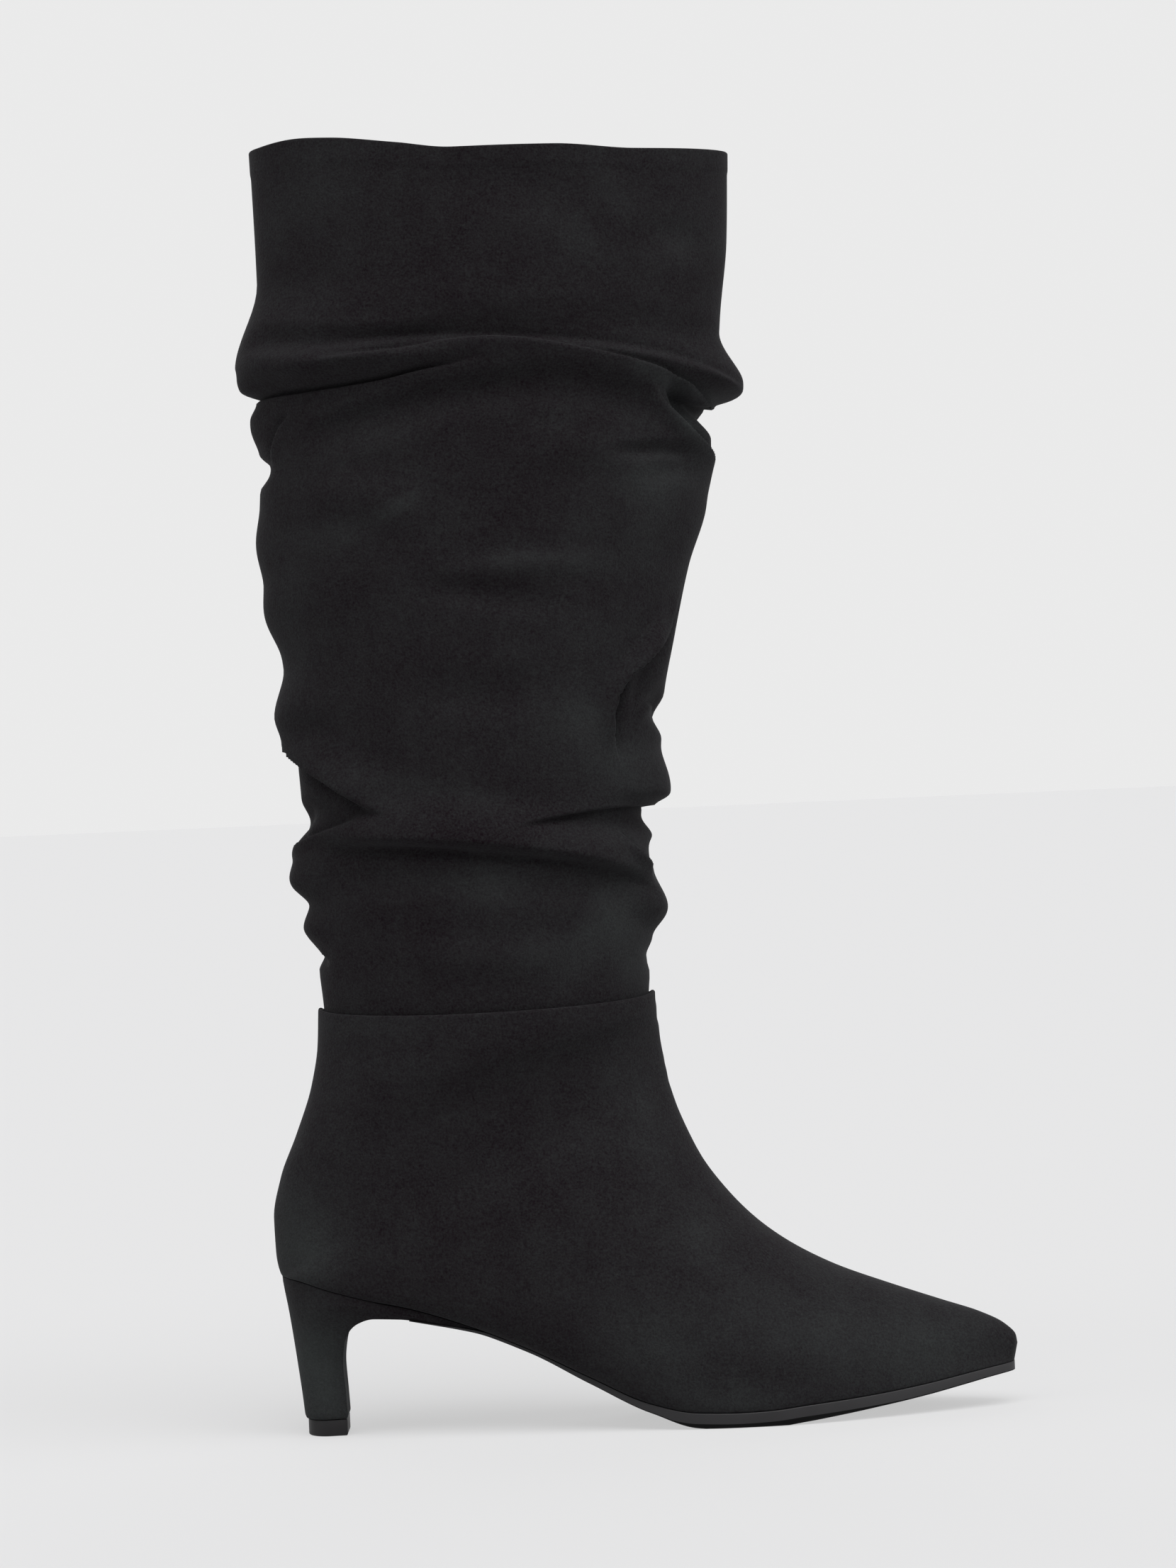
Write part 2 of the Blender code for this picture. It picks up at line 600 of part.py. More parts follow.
def build_insole(lining):
    """The covered insole board, lying on sole and heel inside the upper."""
    rings = []
    for x in rim_places(0, SEAT_BACK):
        low = feather_height(x)
        half = half_inside(x, INSOLE_INSET)
        if half < INSOLE_TIP:
            continue
        middle = feather_middle(x)
        top = low + INSOLE_THICK
        ring = [
            (x, middle, low),
            (x, middle + half, low),
            (x, middle + half, top),
            (x, middle, top),
            (x, middle - half, top),
            (x, middle - half, low),
        ]
        rings.append(ring)
    return finish("insole", loft(rings), lining)


def heel_ring(step):
    """One section through the covered heel, from its back round to its breast."""
    back = read(HEEL, "back", step) * MM
    back_z = read(HEEL, "back_height", step) * MM
    breast = read(HEEL, "breast", step) * MM
    breast_z = read(HEEL, "breast_height", step) * MM
    waist = read(HEEL, "waist", step) * MM
    seat = read(HEEL, "seat", step) / 100
    places = rim_places(LIP_END, SEAT_BACK)[::-1]
    share = (places - places[0]) / (places[-1] - places[0])
    x = back + (breast - back) * share
    rear = np.sqrt(1 - (1 - np.clip(share / HEEL_FULL, 0, 1)) ** 2)
    ease = np.clip((share - HEEL_FULL) / (1 - HEEL_FULL), 0, 1)
    own = waist * rear * (1 - (1 - BREAST_SHARE) * ease)
    half = own * (1 - seat) + feather_half(x) * seat
    middle = feather_middle(x) * seat
    level = back_z + (breast_z - back_z) * share
    join = max((seat - SEAT_JOINS) / (1 - SEAT_JOINS), 0.0)
    z = level + (feather_height(x) - GAP - level) * join
    outer = np.stack([x, middle - half, z], axis=-1)
    inner = np.stack([x, middle + half, z], axis=-1)
    front = np.array([[breast, middle[-1], z[-1]]])
    return np.concatenate([inner, front, outer[:0:-1]])


def build_heel(suede):
    """The suede-covered heel, with its lip running forward under the waist."""
    rings = [heel_ring(float(row[0])) for row in HEEL[1:]]
    return finish("heel", loft(rings), suede)


def build_top_lift(rubber):
    """The rubber tip under the heel, a little smaller than the heel at the back."""
    sole = heel_ring(0.0)
    front = sole[:, 0].max()
    size = front - sole[:, 0].min()
    rings = []
    for height, inset in ((0.0, LIFT_BEVEL), (LIFT_BEVEL, 0.0), (LIFT_HEIGHT, 0.0)):
        ring = sole.copy()
        ring[:, 0] = front - inset - (front - sole[:, 0]) * (1 - (LIFT_INSET + 2 * inset) / size)
        ring[:, 1] *= 1 - (LIFT_INSET / 2 + 2 * inset) / size
        ring[:, 2] = height
        rings.append(ring)
    return finish("top_lift", loft(rings), rubber)


clear_scene()
UPPER_SUEDE = material("upper suede", SUEDE_BLACK, 0.95)
SHAFT_SUEDE = material("shaft suede", SUEDE_BLACK, 0.95)
HEEL_SUEDE = material("heel suede", SUEDE_BLACK, 0.95)
INSOLE_LINING = material("insole lining", LINING_BLACK, 0.7)
SOLE_RUBBER = material("sole rubber", RUBBER_BLACK, 0.45)
LIFT_RUBBER = material("lift rubber", RUBBER_BLACK, 0.4)
build_upper(UPPER_SUEDE)
build_shaft(SHAFT_SUEDE)
build_insole(INSOLE_LINING)
build_outsole(SOLE_RUBBER)
build_heel(HEEL_SUEDE)
build_top_lift(LIFT_RUBBER)
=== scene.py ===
"""Slouch boot in black suede: how the finished boot looks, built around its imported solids.

Metres, +Z up, +X towards the toe, -Y the outer side of the foot, as in the frame.
"""

import math

import bmesh
import bpy
import numpy as np
from mathutils import Matrix, Vector


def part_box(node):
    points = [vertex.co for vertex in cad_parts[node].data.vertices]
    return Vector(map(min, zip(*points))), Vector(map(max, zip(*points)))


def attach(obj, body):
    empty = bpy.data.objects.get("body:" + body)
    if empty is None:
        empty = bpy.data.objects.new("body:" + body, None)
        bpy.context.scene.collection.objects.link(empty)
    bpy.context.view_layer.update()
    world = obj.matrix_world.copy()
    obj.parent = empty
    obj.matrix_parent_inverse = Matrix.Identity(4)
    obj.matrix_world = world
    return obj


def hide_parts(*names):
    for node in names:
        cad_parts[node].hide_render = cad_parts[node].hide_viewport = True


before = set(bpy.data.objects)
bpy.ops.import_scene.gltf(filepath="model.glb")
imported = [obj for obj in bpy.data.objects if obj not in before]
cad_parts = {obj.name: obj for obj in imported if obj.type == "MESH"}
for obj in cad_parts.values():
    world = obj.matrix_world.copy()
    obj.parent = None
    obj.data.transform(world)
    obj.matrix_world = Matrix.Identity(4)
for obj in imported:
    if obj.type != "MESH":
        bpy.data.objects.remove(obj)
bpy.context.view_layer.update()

# Insole: a fibre board under a thin foam and a smooth black sock lining, drawn over the last
# before the upper is pulled down on it. It rests on the sole at the front and on the heel's
# seat at the back.

MM = 0.001
upper_low, upper_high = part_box("upper")
HEEL_BACK = upper_low[0]
FOOT_LENGTH = upper_high[0] - upper_low[0]
BALL_WIDTH = 0.078
HEEL_HEIGHT = 0.0547      # floor to the back of the seat
INSOLE_THICK = 2.0 * MM
INSOLE_INSET = 2.8 * MM   # how far its edge lies inside the upper's
INSOLE_ENDS = (2.6, 97.5)  # its back and front, % of foot length
INSOLE_TIP = 2.5 * MM     # half width at which each end is cut off
INSOLE_SOFT = 0.7 * MM    # radius of its top edge
INSOLE_HALF = 20 * MM     # usual half width, against which that radius is drawn

# Where the upper meets the sole, seen from the side and from above.
# along: % of foot length, height: % of heel height, thick: sole in mm,
# middle and half: centre line and half width, % of ball width
FEATHER = (
    ("along", "height", "thick", "middle", "half"),
    (0.8, 100.0, 2.2, 0.0, 0.0),
    (3.0, 98.6, 2.2, 0.0, 21.8),
    (7.4, 92.5, 2.2, 0.0, 31.4),
    (12.9, 85.6, 2.2, -0.4, 34.4),
    (18.1, 80.0, 2.2, -1.3, 33.3),
    (26.8, 66.0, 1.4, -3.2, 29.5),
    (34.0, 51.4, 1.3, -4.2, 27.6),
    (41.9, 33.1, 2.3, -3.8, 30.8),
    (49.9, 16.2, 3.2, -2.6, 38.5),
    (55.9, 10.2, 5.3, -1.0, 44.6),
    (61.8, 9.4, 5.9, 0.4, 47.7),
    (65.8, 9.9, 5.9, 1.0, 47.9),
    (70.6, 11.8, 5.7, 1.9, 46.2),
    (76.1, 13.6, 5.0, 2.9, 41.7),
    (81.7, 15.8, 4.3, 3.8, 35.3),
    (87.3, 18.8, 3.9, 4.6, 27.9),
    (92.0, 22.0, 3.6, 5.1, 20.8),
    (96.0, 24.7, 3.3, 5.4, 14.1),
    (98.4, 26.0, 3.2, 5.5, 8.3),
    (99.5, 26.5, 3.2, 5.5, 0.0),
)


def read(table, name, at):
    """A column of a table at any place along its first column.

    The curve is a cubic through every row. A row's slope is the harmonic mean of the slopes
    on its two sides, or level at a turning point, so it never overshoots.
    """
    rows = np.array(table[1:], dtype=float)
    place = rows[:, 0]
    value = rows[:, table[0].index(name)]
    step = np.diff(place)
    slope = np.diff(value) / step
    before, after = slope[:-1], slope[1:]
    same_way = before * after > 0
    total = np.where(same_way, before + after, 1.0)
    mean = np.where(same_way, 2 * before * after / total, 0.0)
    tangent = np.concatenate(([slope[0]], mean, [slope[-1]]))
    at = np.clip(at, place[0], place[-1])
    i = np.clip(np.searchsorted(place, at, side="right") - 1, 0, len(place) - 2)
    s = (at - place[i]) / step[i]
    rise = step[i] * s * (1 - s)
    steady = value[i] + (value[i + 1] - value[i]) * s * s * (3 - 2 * s)
    return steady + rise * (tangent[i] * (1 - s) - tangent[i + 1] * s)


def along(percent):
    """X at a share of the foot's length from the back of the heel."""
    return HEEL_BACK + FOOT_LENGTH * percent / 100


def feather(name, x):
    """A column of the feather line's table at a place along X."""
    return read(FEATHER, name, (x - HEEL_BACK) / FOOT_LENGTH * 100)


def feather_height(x):
    return HEEL_HEIGHT * feather("height", x) / 100


def feather_middle(x):
    return BALL_WIDTH * feather("middle", x) / 100


def feather_half(x):
    """Half width of the upper at the sole: the root of its square read off the curve.

    The square falls to nothing at a steady rate at both ends, so the root closes them round.
    """
    squares = [FEATHER[0]] + [row[:4] + (row[4] ** 2,) for row in FEATHER[1:]]
    square = read(squares, "half", (x - HEEL_BACK) / FOOT_LENGTH * 100)
    return BALL_WIDTH * np.sqrt(np.maximum(square, 0.0)) / 100


def half_inside(x, inset):
    """Half width of the feather outline worn back by a disc whose radius is the inset.

    It is the least, over the disc, of the outline's half width less the disc's own.
    """
    shift = np.linspace(-inset, inset, 25)
    own = np.sqrt(np.maximum(inset * inset - shift * shift, 0.0))
    return np.min(feather_half(x[:, None] + shift) - own, axis=1)


def linear(hex_colour):
    """An sRGB hex colour as the linear red, green, blue and alpha that a shader takes."""
    parts = [int(hex_colour[i:i + 2], 16) / 255 for i in (1, 3, 5)]
    return (*[c / 12.92 if c <= 0.04045 else ((c + 0.055) / 1.055) ** 2.4 for c in parts], 1.0)


def set_inputs(tree, node, inputs):
    """Give each named input of a node its value, or link it to the output given for it."""
    for name, value in inputs.items():
        if isinstance(value, bpy.types.NodeSocket):
            tree.links.new(value, node.inputs[name])
        else:
            node.inputs[name].default_value = value


def add_node(tree, kind, inputs, **settings):
    """Add a node with its settings and inputs."""
    node = tree.nodes.new(kind)
    for name, value in settings.items():
        setattr(node, name, value)
    set_inputs(tree, node, inputs)
    return node


def start_material(name):
    """A material with its node tree, its Principled shader and its Object coordinates."""
    made = bpy.data.materials.new(name)
    made.use_nodes = True
    tree = made.node_tree
    shader = tree.nodes["Principled BSDF"]
    place = add_node(tree, "ShaderNodeTexCoord", {}).outputs["Object"]
    return made, tree, shader, place


def join_grid(rows, columns, wrap_rows, wrap_columns):
    """Quads of a grid whose points are numbered row by row, closed round where asked."""
    i = np.arange(rows if wrap_rows else rows - 1)[:, None]
    j = np.arange(columns if wrap_columns else columns - 1)[None, :]
    below = (i + 1) % rows
    beside = (j + 1) % columns
    corners = (i * columns + j, i * columns + beside, below * columns + beside, below * columns + j)
    return np.stack(np.broadcast_arrays(*corners), axis=-1).reshape(-1, 4)


def put_in_scene(name, data):
    """An object that holds this mesh, lamp or camera, linked into the scene."""
    made = bpy.data.objects.new(name, data)
    bpy.context.scene.collection.objects.link(made)
    return made


def add_piece(name, points, faces, finishes, finish_of_face=None):
    """A smooth mesh object from arrays of points and faces, its doubled points made one."""
    mesh = bpy.data.meshes.new(name)
    mesh.from_pydata(points.reshape(-1, 3).tolist(), [], [tuple(face) for face in faces])
    for finish in finishes:
        mesh.materials.append(finish)
    if finish_of_face is not None:
        mesh.polygons.foreach_set("material_index", finish_of_face.astype(np.int32))
    bm = bmesh.new()
    bm.from_mesh(mesh)
    bmesh.ops.remove_doubles(bm, verts=bm.verts, dist=1e-6)
    bmesh.ops.dissolve_degenerate(bm, edges=bm.edges, dist=1e-6)
    bm.to_mesh(mesh)
    bm.free()
    mesh.shade_smooth()
    return put_in_scene(name, mesh)


def bar_faces(rings, around):
    """Faces of a bar through rings of points, each end closed by one face."""
    sides = [tuple(face) for face in join_grid(rings, around, False, True)]
    start = tuple(range(around))[::-1]
    end = tuple(range((rings - 1) * around, rings * around))
    return sides + [start, end]


def even_rings(x, out, up):
    """Rings across the foot at each X, even about its middle line.

    out and up lead each ring from the middle of the underside over the inner side to the
    middle of the top, and the outer side is their mirror image.
    """
    y = feather_middle(x)[:, None] + np.concatenate([out, -out[:, -2:0:-1]], axis=1)
    z = np.concatenate([up, up[:, -2:0:-1]], axis=1)
    return np.stack([np.broadcast_to(x[:, None], y.shape), y, z], axis=-1)


def insole_points():
    """Rings across the board: level below, upright at the edge, a soft round and a level top."""
    x = along(np.linspace(*INSOLE_ENDS, 120))
    half = half_inside(x, INSOLE_INSET)
    x, half = x[half > INSOLE_TIP], half[half > INSOLE_TIP]
    turn = np.radians([0, 30, 60, 90])
    out = np.concatenate([[0, 1], 1 - INSOLE_SOFT / INSOLE_HALF * (1 - np.cos(turn)), [0.5, 0]])
    up = np.concatenate([[0, 0], INSOLE_THICK - INSOLE_SOFT * (1 - np.sin(turn)), [INSOLE_THICK] * 2])
    return even_rings(x, half[:, None] * out, feather_height(x)[:, None] + up)


# Sock lining: pigment-finished pigskin, matt, with its hair pores in groups of three showing
# as a fine pitting about a millimetre and a half apart.
def pigskin_lining():
    made, tree, shader, place = start_material("black pigskin lining")
    pores = add_node(tree, "ShaderNodeTexVoronoi", {"Vector": place, "Scale": 1 / (1.5 * MM)})
    wear = add_node(tree, "ShaderNodeTexNoise", {"Vector": place, "Scale": 1 / (22 * MM), "Detail": 3.0})
    tone = add_node(tree, "ShaderNodeMix", {"Factor": wear.outputs["Fac"], 6: linear("#232122"),
                                            7: linear("#2d2b2b")}, data_type="RGBA")
    bump = add_node(tree, "ShaderNodeBump", {"Height": pores.outputs["Distance"], "Strength": 0.25,
                                             "Distance": 0.15 * MM})
    set_inputs(tree, shader, {"Base Color": tone.outputs[2], "Normal": bump.outputs["Normal"],
                              "Roughness": 0.62, "Specular IOR Level": 0.3})
    return made


LINING = pigskin_lining()
board = insole_points()
insole = add_piece("insole_sock", board, bar_faces(*board.shape[:2]), [LINING])
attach(insole, "root")
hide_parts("insole")

# Upper: the foot part, cut from black goat suede in a front and a back panel joined by a
# closed seam down each side, backed with lining and stiffener, and drawn over the last. Its
# top edge is turned in over the leg and stitched to it from inside.

INSTEP_HEIGHT = 0.144     # floor to the folded top edge of the foot part
UPPER_WALL = 1.8 * MM
FOLD_ROUND = 8            # steps round a folded edge
TURNED_IN = 14 * MM       # how far the suede reaches inside before the lining starts

# Sections through the foot part, fanned from the tip of the toe round to the top edge.
# base and ridge: the lowest and highest point of each section, % of foot length and of
# heel or instep height; outer and inner: greatest half width, lean: side shift of the
# ridge, all % of ball width; widest: where that width lies, % of the way up;
# low and high: 100 is an ellipse, less is squarer, more is keener
SECTIONS = (
    ("step", "base", "base_height", "ridge", "ridge_height",
     "outer", "inner", "lean", "widest", "low", "high"),
    (0, 99.5, 26.5, 100.0, 14.0, 0.0, 0.0, 5.5, 45, 90, 90),
    (1, 99.0, 26.2, 99.8, 16.0, 6.3, 6.3, 5.5, 45, 90, 90),
    (2, 98.0, 25.7, 98.2, 18.9, 10.6, 10.6, 5.5, 44, 90, 90),
    (3, 95.6, 24.4, 95.0, 21.8, 15.9, 15.9, 5.6, 42, 90, 92),
    (4, 91.3, 21.2, 89.9, 25.0, 23.3, 23.3, 5.6, 38, 90, 95),
    (5, 84.9, 16.9, 83.0, 29.4, 33.0, 33.0, 5.6, 33, 90, 100),
    (6, 77.7, 14.4, 75.6, 34.6, 42.0, 42.0, 5.5, 28, 90, 105),
    (7, 70.6, 12.2, 69.3, 40.8, 48.3, 48.5, 5.2, 25, 90, 108),
    (8, 64.2, 10.0, 64.8, 47.1, 50.0, 50.3, 4.6, 25, 90, 110),
    (9, 57.1, 10.4, 61.1, 54.3, 48.7, 49.0, 4.0, 27, 90, 110),
    (10, 49.1, 19.0, 58.4, 61.1, 46.2, 46.5, 3.2, 31, 90, 110),
    (11, 40.0, 38.8, 56.7, 67.2, 44.9, 44.2, 2.6, 36, 90, 108),
    (12, 27.0, 67.5, 55.2, 73.8, 44.2, 43.2, 1.9, 40, 90, 106),
    (13, 18.5, 79.5, 54.6, 77.3, 44.0, 43.0, 1.5, 43, 90, 104),
    (14, 10.9, 87.9, 54.2, 79.9, 43.8, 43.2, 1.2, 45, 88, 102),
    (15, 5.0, 96.2, 54.0, 82.2, 43.2, 43.0, 1.0, 46, 86, 101),
    (16, 2.0, 99.3, 53.8, 84.0, 42.8, 42.8, 0.8, 47, 85, 100),
    (17, 0.8, 100.0, 53.7, 85.4, 42.6, 42.6, 0.6, 48, 85, 100),
    (18, 0.1, 113.3, 53.5, 87.5, 42.6, 42.6, 0.4, 49, 86, 100),
    (19, 0.0, 135.3, 53.3, 90.3, 43.0, 43.0, 0.2, 50, 88, 100),
    (20, 1.2, 160.9, 53.2, 92.9, 44.0, 44.0, 0.0, 50, 91, 100),
    (21, 3.5, 186.5, 53.0, 95.1, 46.8, 46.8, 0.0, 50, 94, 100),
    (22, 5.8, 215.7, 53.0, 97.2, 50.0, 50.0, 0.0, 50, 98, 100),
    (23, 6.9, 241.3, 52.9, 99.3, 51.2, 51.2, 0.0, 50, 100, 100),
    (24, 7.2, 263.3, 52.9, 100.8, 51.3, 51.3, 0.0, 50, 100, 100),
)
LIP_END = 12              # the section at which the heel's lip meets the outsole
SEAT_BACK = 17            # the section where the open underside ends at the back of the seat
LAST_SECTION = 24
KEEL_WINDOW = 1.6         # how many sections to each side the keel is averaged over
KEEL_REACH = 6            # how fast a section leaves its true edge for the keel
CORNER_REACH = 4.5        # sections to each side over which the corner at the seat is eased
CORNER_ROUNDS = 400       # how many times over
TOP_DIP = 3.2 * MM        # how far the top edge dips at the sides, between front and back
DIP_FROM = 20             # the section above which that dip is felt
DIP_POWER = 0.85          # less brings it sooner on the way from the ridge to the side
LEAST_HALF = 0.001 * MM


def section_base(step):
    """Where a section starts: x, z, half width of the opening and its middle."""
    x = along(read(SECTIONS, "base", step))
    back_z = HEEL_HEIGHT * read(SECTIONS, "base_height", step) / 100
    closed = step >= SEAT_BACK
    z = np.where(closed, back_z, feather_height(x))
    edge = np.where(closed, 0.0, feather_half(x))
    middle = np.where(closed, 0.0, feather_middle(x))
    return np.stack([x, z, edge, middle])


def section_keel(step):
    """The bases averaged over the sections beside each, which rounds the corner at the seat."""
    window = np.minimum(KEEL_WINDOW, np.minimum(step, LAST_SECTION - step))
    shares = np.linspace(-1, 1, 13)
    return sum(section_base(step + share * window) for share in shares) / len(shares)


def foot_surface(step, way):
    """A point of the foot part from its section and its place across, -1 outer to 1 inner.

    From the sole's edge the section swells to its greatest half width on a quarter of a
    superellipse and closes over the ridge on another. It stands on the rounded keel, and
    turns to the true edge close to the sole, by a power of the share still to climb. Near
    the top edge its sides hang down by a power of their share of the half width.
    """
    base = section_base(step)
    keel = section_keel(step)
    ridge_x = along(read(SECTIONS, "ridge", step))
    ridge_z = INSTEP_HEIGHT * read(SECTIONS, "ridge_height", step) / 100
    widest, low, high, lean, outer, inner = (
        read(SECTIONS, name, step) / 100 for name in ("widest", "low", "high", "lean", "outer", "inner"))
    lean = BALL_WIDTH * lean
    half = BALL_WIDTH * np.where(way < 0, outer, inner)
    climb = 1 - np.abs(way)
    up = np.clip(climb / widest, 0, 1) * math.pi / 2
    over = np.clip((climb - widest) / (1 - widest), 0, 1) * math.pi / 2
    lower = widest * (1 - np.maximum(np.cos(up), 0.0) ** low)
    upper = widest + (1 - widest) * np.sin(over) ** high
    share = np.where(climb < widest, lower, upper)
    x, z, edge, middle = keel + (base - keel) * (1 - share) ** KEEL_REACH
    swell = edge + (half - edge) * np.sin(up) ** low
    shut = half * np.maximum(np.cos(over), 0.0) ** high
    across = np.where(climb < widest, swell, shut)
    x = x + (ridge_x - x) * share
    y = middle + (lean - middle) * share + np.sign(way) * across
    # The least width keeps the share nothing at the tip of the toe, where there is no width
    sideways = across / np.maximum(half, LEAST_HALF)
    dip = TOP_DIP * smooth((step - DIP_FROM) / (LAST_SECTION - DIP_FROM)) * sideways ** DIP_POWER
    z = z + (ridge_z - z) * share - dip
    return np.stack([x, y, z], axis=-1)


def outward(points, wrap):
    """The unit normal at each point of a grid: the cross product of its two directions."""
    if wrap:
        around = np.roll(points, -1, axis=1) - np.roll(points, 1, axis=1)
    else:
        around = np.gradient(points, axis=1)
    normal = np.cross(around, np.gradient(points, axis=0))
    return normal / np.maximum(np.linalg.norm(normal, axis=-1, keepdims=True), 1e-12)


def folded_wall(points, wall, every, wrap):
    """A wall's outer rows, its half-round fold at the last row, and its inner rows back.

    The inner rows are the outer ones moved inwards along their normals by the wall. The fold
    is half a circle across the wall, standing up by half the wall. Every few outer rows have
    an inner one.
    """
    normal = outward(points, wrap)
    edge, facing = points[-1], normal[-1]
    rising = points[-1] - points[-2]
    rising /= np.linalg.norm(rising, axis=-1, keepdims=True)
    angle = np.linspace(0, math.pi, FOLD_ROUND + 1)[1:-1, None, None]
    fold = edge + wall / 2 * (np.sin(angle) * rising - (1 - np.cos(angle)) * facing)
    keep = sorted({0, len(points) - 1, *range(0, len(points), every)}, reverse=True)
    inner = (points - normal * wall)[keep]
    return np.concatenate([points, fold, inner]), keep


# Goat suede: the flesh side of the skin, dyed through and sanded to a short nap. The nap
# lies this way and that, which gives soft lighter and darker clouds a thumb's width across
# over a fine velvety grain, and it takes no highlight but a faint bloom at the edges.
def goat_suede(name, seams):
    made, tree, shader, place = start_material(name)
    # Clouds, brushed streaks and nap: size in mm, detail, roughness and share in the tone. The
    # nap is a tenth of a millimetre across; it is drawn as coarse as it needs to show
    grains, paler = [], -1.5
    for size, detail, rough, share in ((15, 2, 0.5, 0.9), (2.6, 1, 0.5, 0.5), (0.75, 1, 0.8, 2.6)):
        noise = add_node(tree, "ShaderNodeTexNoise", {"Vector": place, "Scale": 1 / (size * MM),
                                                      "Detail": detail, "Roughness": rough})
        grains.append(noise.outputs["Fac"])
        paler = add_node(tree, "ShaderNodeMath", {0: grains[-1], 1: share, 2: paler},
                         operation="MULTIPLY_ADD").outputs[0]
    # Patches from each piece's table, painted paler or darker: the nap's own clouds together with painted
    # light and painted shade
    painted_nap_light = add_node(tree, "ShaderNodeAttribute", {}, attribute_name="painted_nap_light").outputs["Fac"]
    paler = add_node(tree, "ShaderNodeMath", {0: paler, 1: painted_nap_light}, operation="ADD").outputs[0]
    tone = add_node(tree, "ShaderNodeMix", {"Factor": paler, 6: linear("#120e11"),
                                            7: linear("#1d1d1e")}, data_type="RGBA", clamp_factor=False)
    height = add_node(tree, "ShaderNodeMath", {0: grains[1], 1: 0.5, 2: grains[2]},
                      operation="MULTIPLY_ADD")
    bump = add_node(tree, "ShaderNodeBump", {"Height": height.outputs[0], "Strength": 0.5,
                                             "Distance": 0.3 * MM})
    if seams:
        bump = add_node(tree, "ShaderNodeBump", {"Height": seams(tree, place), "Strength": 0.5,
                                                 "Distance": 0.25 * MM, "Normal": bump.outputs["Normal"]})
    set_inputs(tree, shader, {"Base Color": tone.outputs[2], "Normal": bump.outputs["Normal"],
                              "Roughness": 0.95, "Specular IOR Level": 0.08, "Sheen Weight": 0.02,
                              "Sheen Roughness": 0.5, "Sheen Tint": linear("#d8dce2")})
    return made


def paint_nap_light(piece, patches):
    """Write on each point how much paler or darker the suede is painted there, which it adds to its tone:
    partly the nap's own clouds, partly painted light and shade.

    Each patch is a bell curve of the distance from its middle, as seen from the side, with
    its own width, height and tilt. The inner side gets half as much.
    """
    points = np.empty(len(piece.data.vertices) * 3)
    piece.data.vertices.foreach_get("co", points)
    x, y, z = points.reshape(-1, 3).T / MM
    painted_nap_light = np.zeros(len(x))
    for middle, level, wide, high, tilt, paler in patches[1:]:
        turned = math.radians(tilt)
        along_it = (x - middle) * math.cos(turned) + (z - level) * math.sin(turned)
        across_it = (z - level) * math.cos(turned) - (x - middle) * math.sin(turned)
        painted_nap_light += paler * np.exp(-(along_it / wide) ** 2 - (across_it / high) ** 2)
    painted_nap_light *= 0.5 + 0.5 * smooth(0.5 - y / 20)
    piece.data.attributes.new("painted_nap_light", "FLOAT", "POINT").data.foreach_set("value", painted_nap_light)


# Patches of the foot part painted paler or deeper: some are the nap's own clouds, most are painted light
# where the floor and the side lamps light the toe, the low sides and the back of the seat. Middle along X and
# height, width and height, all in mm, tilt in degrees and how much paler
FOOT_NAP_AND_LIGHT = (
    ("middle", "level", "wide", "high", "tilt", "paler"),
    (-6, 66, 13, 18, 0, 1.3),
    (128, 62, 9, 8, 0, 0.5),
    (108, 112, 10, 26, 15, 0.4),
    (168, 28, 42, 17, -12, 0.7),
    (212, 20, 26, 13, -12, 0.7),
    (143, 9, 15, 5, 0, 0.6),
    (118, 13, 18, 6, -15, 0.4),
    (22, 139, 28, 4, 0, 0.4),
    (52, 80, 38, 26, 0, -0.1),
    (110, 30, 26, 10, -32, 0.6),
)


SEAM_FOOT = 73.2 * MM     # X at which the side seam would meet the floor
SEAM_LEAN = 5.2 / 90      # how far it drifts back on its way up, against its height
SEAM_HALF = 0.8 * MM      # half width of the dip where the two panels meet


def side_seam(tree, place):
    """Height of the surface beside the closed side seam: a smooth step of the distance in X."""
    split = add_node(tree, "ShaderNodeSeparateXYZ", {"Vector": place})
    drift = add_node(tree, "ShaderNodeMath", {0: split.outputs["Z"], 1: SEAM_LEAN, 2: -SEAM_FOOT},
                     operation="MULTIPLY_ADD")
    away = add_node(tree, "ShaderNodeMath", {0: split.outputs["X"], 1: drift.outputs[0]},
                    operation="ADD")
    far = add_node(tree, "ShaderNodeMath", {0: away.outputs[0]}, operation="ABSOLUTE")
    dip = add_node(tree, "ShaderNodeMapRange", {"Value": far.outputs[0], "From Min": 0.0,
                                                "From Max": SEAM_HALF}, interpolation_type="SMOOTHSTEP")
    return dip.outputs["Result"]


def smooth(share):
    """A smooth step: three times the square less twice the cube of the share."""
    share = np.clip(share, 0, 1)
    return share * share * (3 - 2 * share)


def eased_corner(points, steps, ways):
    """The grid with the corner at the back of the seat rounded, as the wet suede draws over it.

    Each point there moves sideways towards the mean of its four neighbours, many times over
    and by a share that fades out with the distance from the corner, so the outline seen from
    the side stays. Across the closed back the two edges of the grid are neighbours, and the
    open edge along the sole stays where it is.
    """
    near = 1 - np.abs(steps[:, None] - SEAT_BACK) / CORNER_REACH
    low = (np.abs(ways)[None, :] - 0.6) / 0.2
    share = smooth(near) * smooth(low)
    open_edge = steps <= SEAT_BACK
    share[open_edge, 0] = 0.0
    share[open_edge, -1] = 0.0
    share[0] = share[-1] = 0.0
    y = points[..., 1]
    for _ in range(CORNER_ROUNDS):
        wide = np.concatenate([y[:, -2:-1], y, y[:, 1:2]], axis=1)
        mean = (wide[:, :-2] + wide[:, 2:] + np.roll(y, 1, axis=0) + np.roll(y, -1, axis=0)) / 4
        y = y + 0.6 * share * (mean - y)
    return np.stack([points[..., 0], y, points[..., 2]], axis=-1)


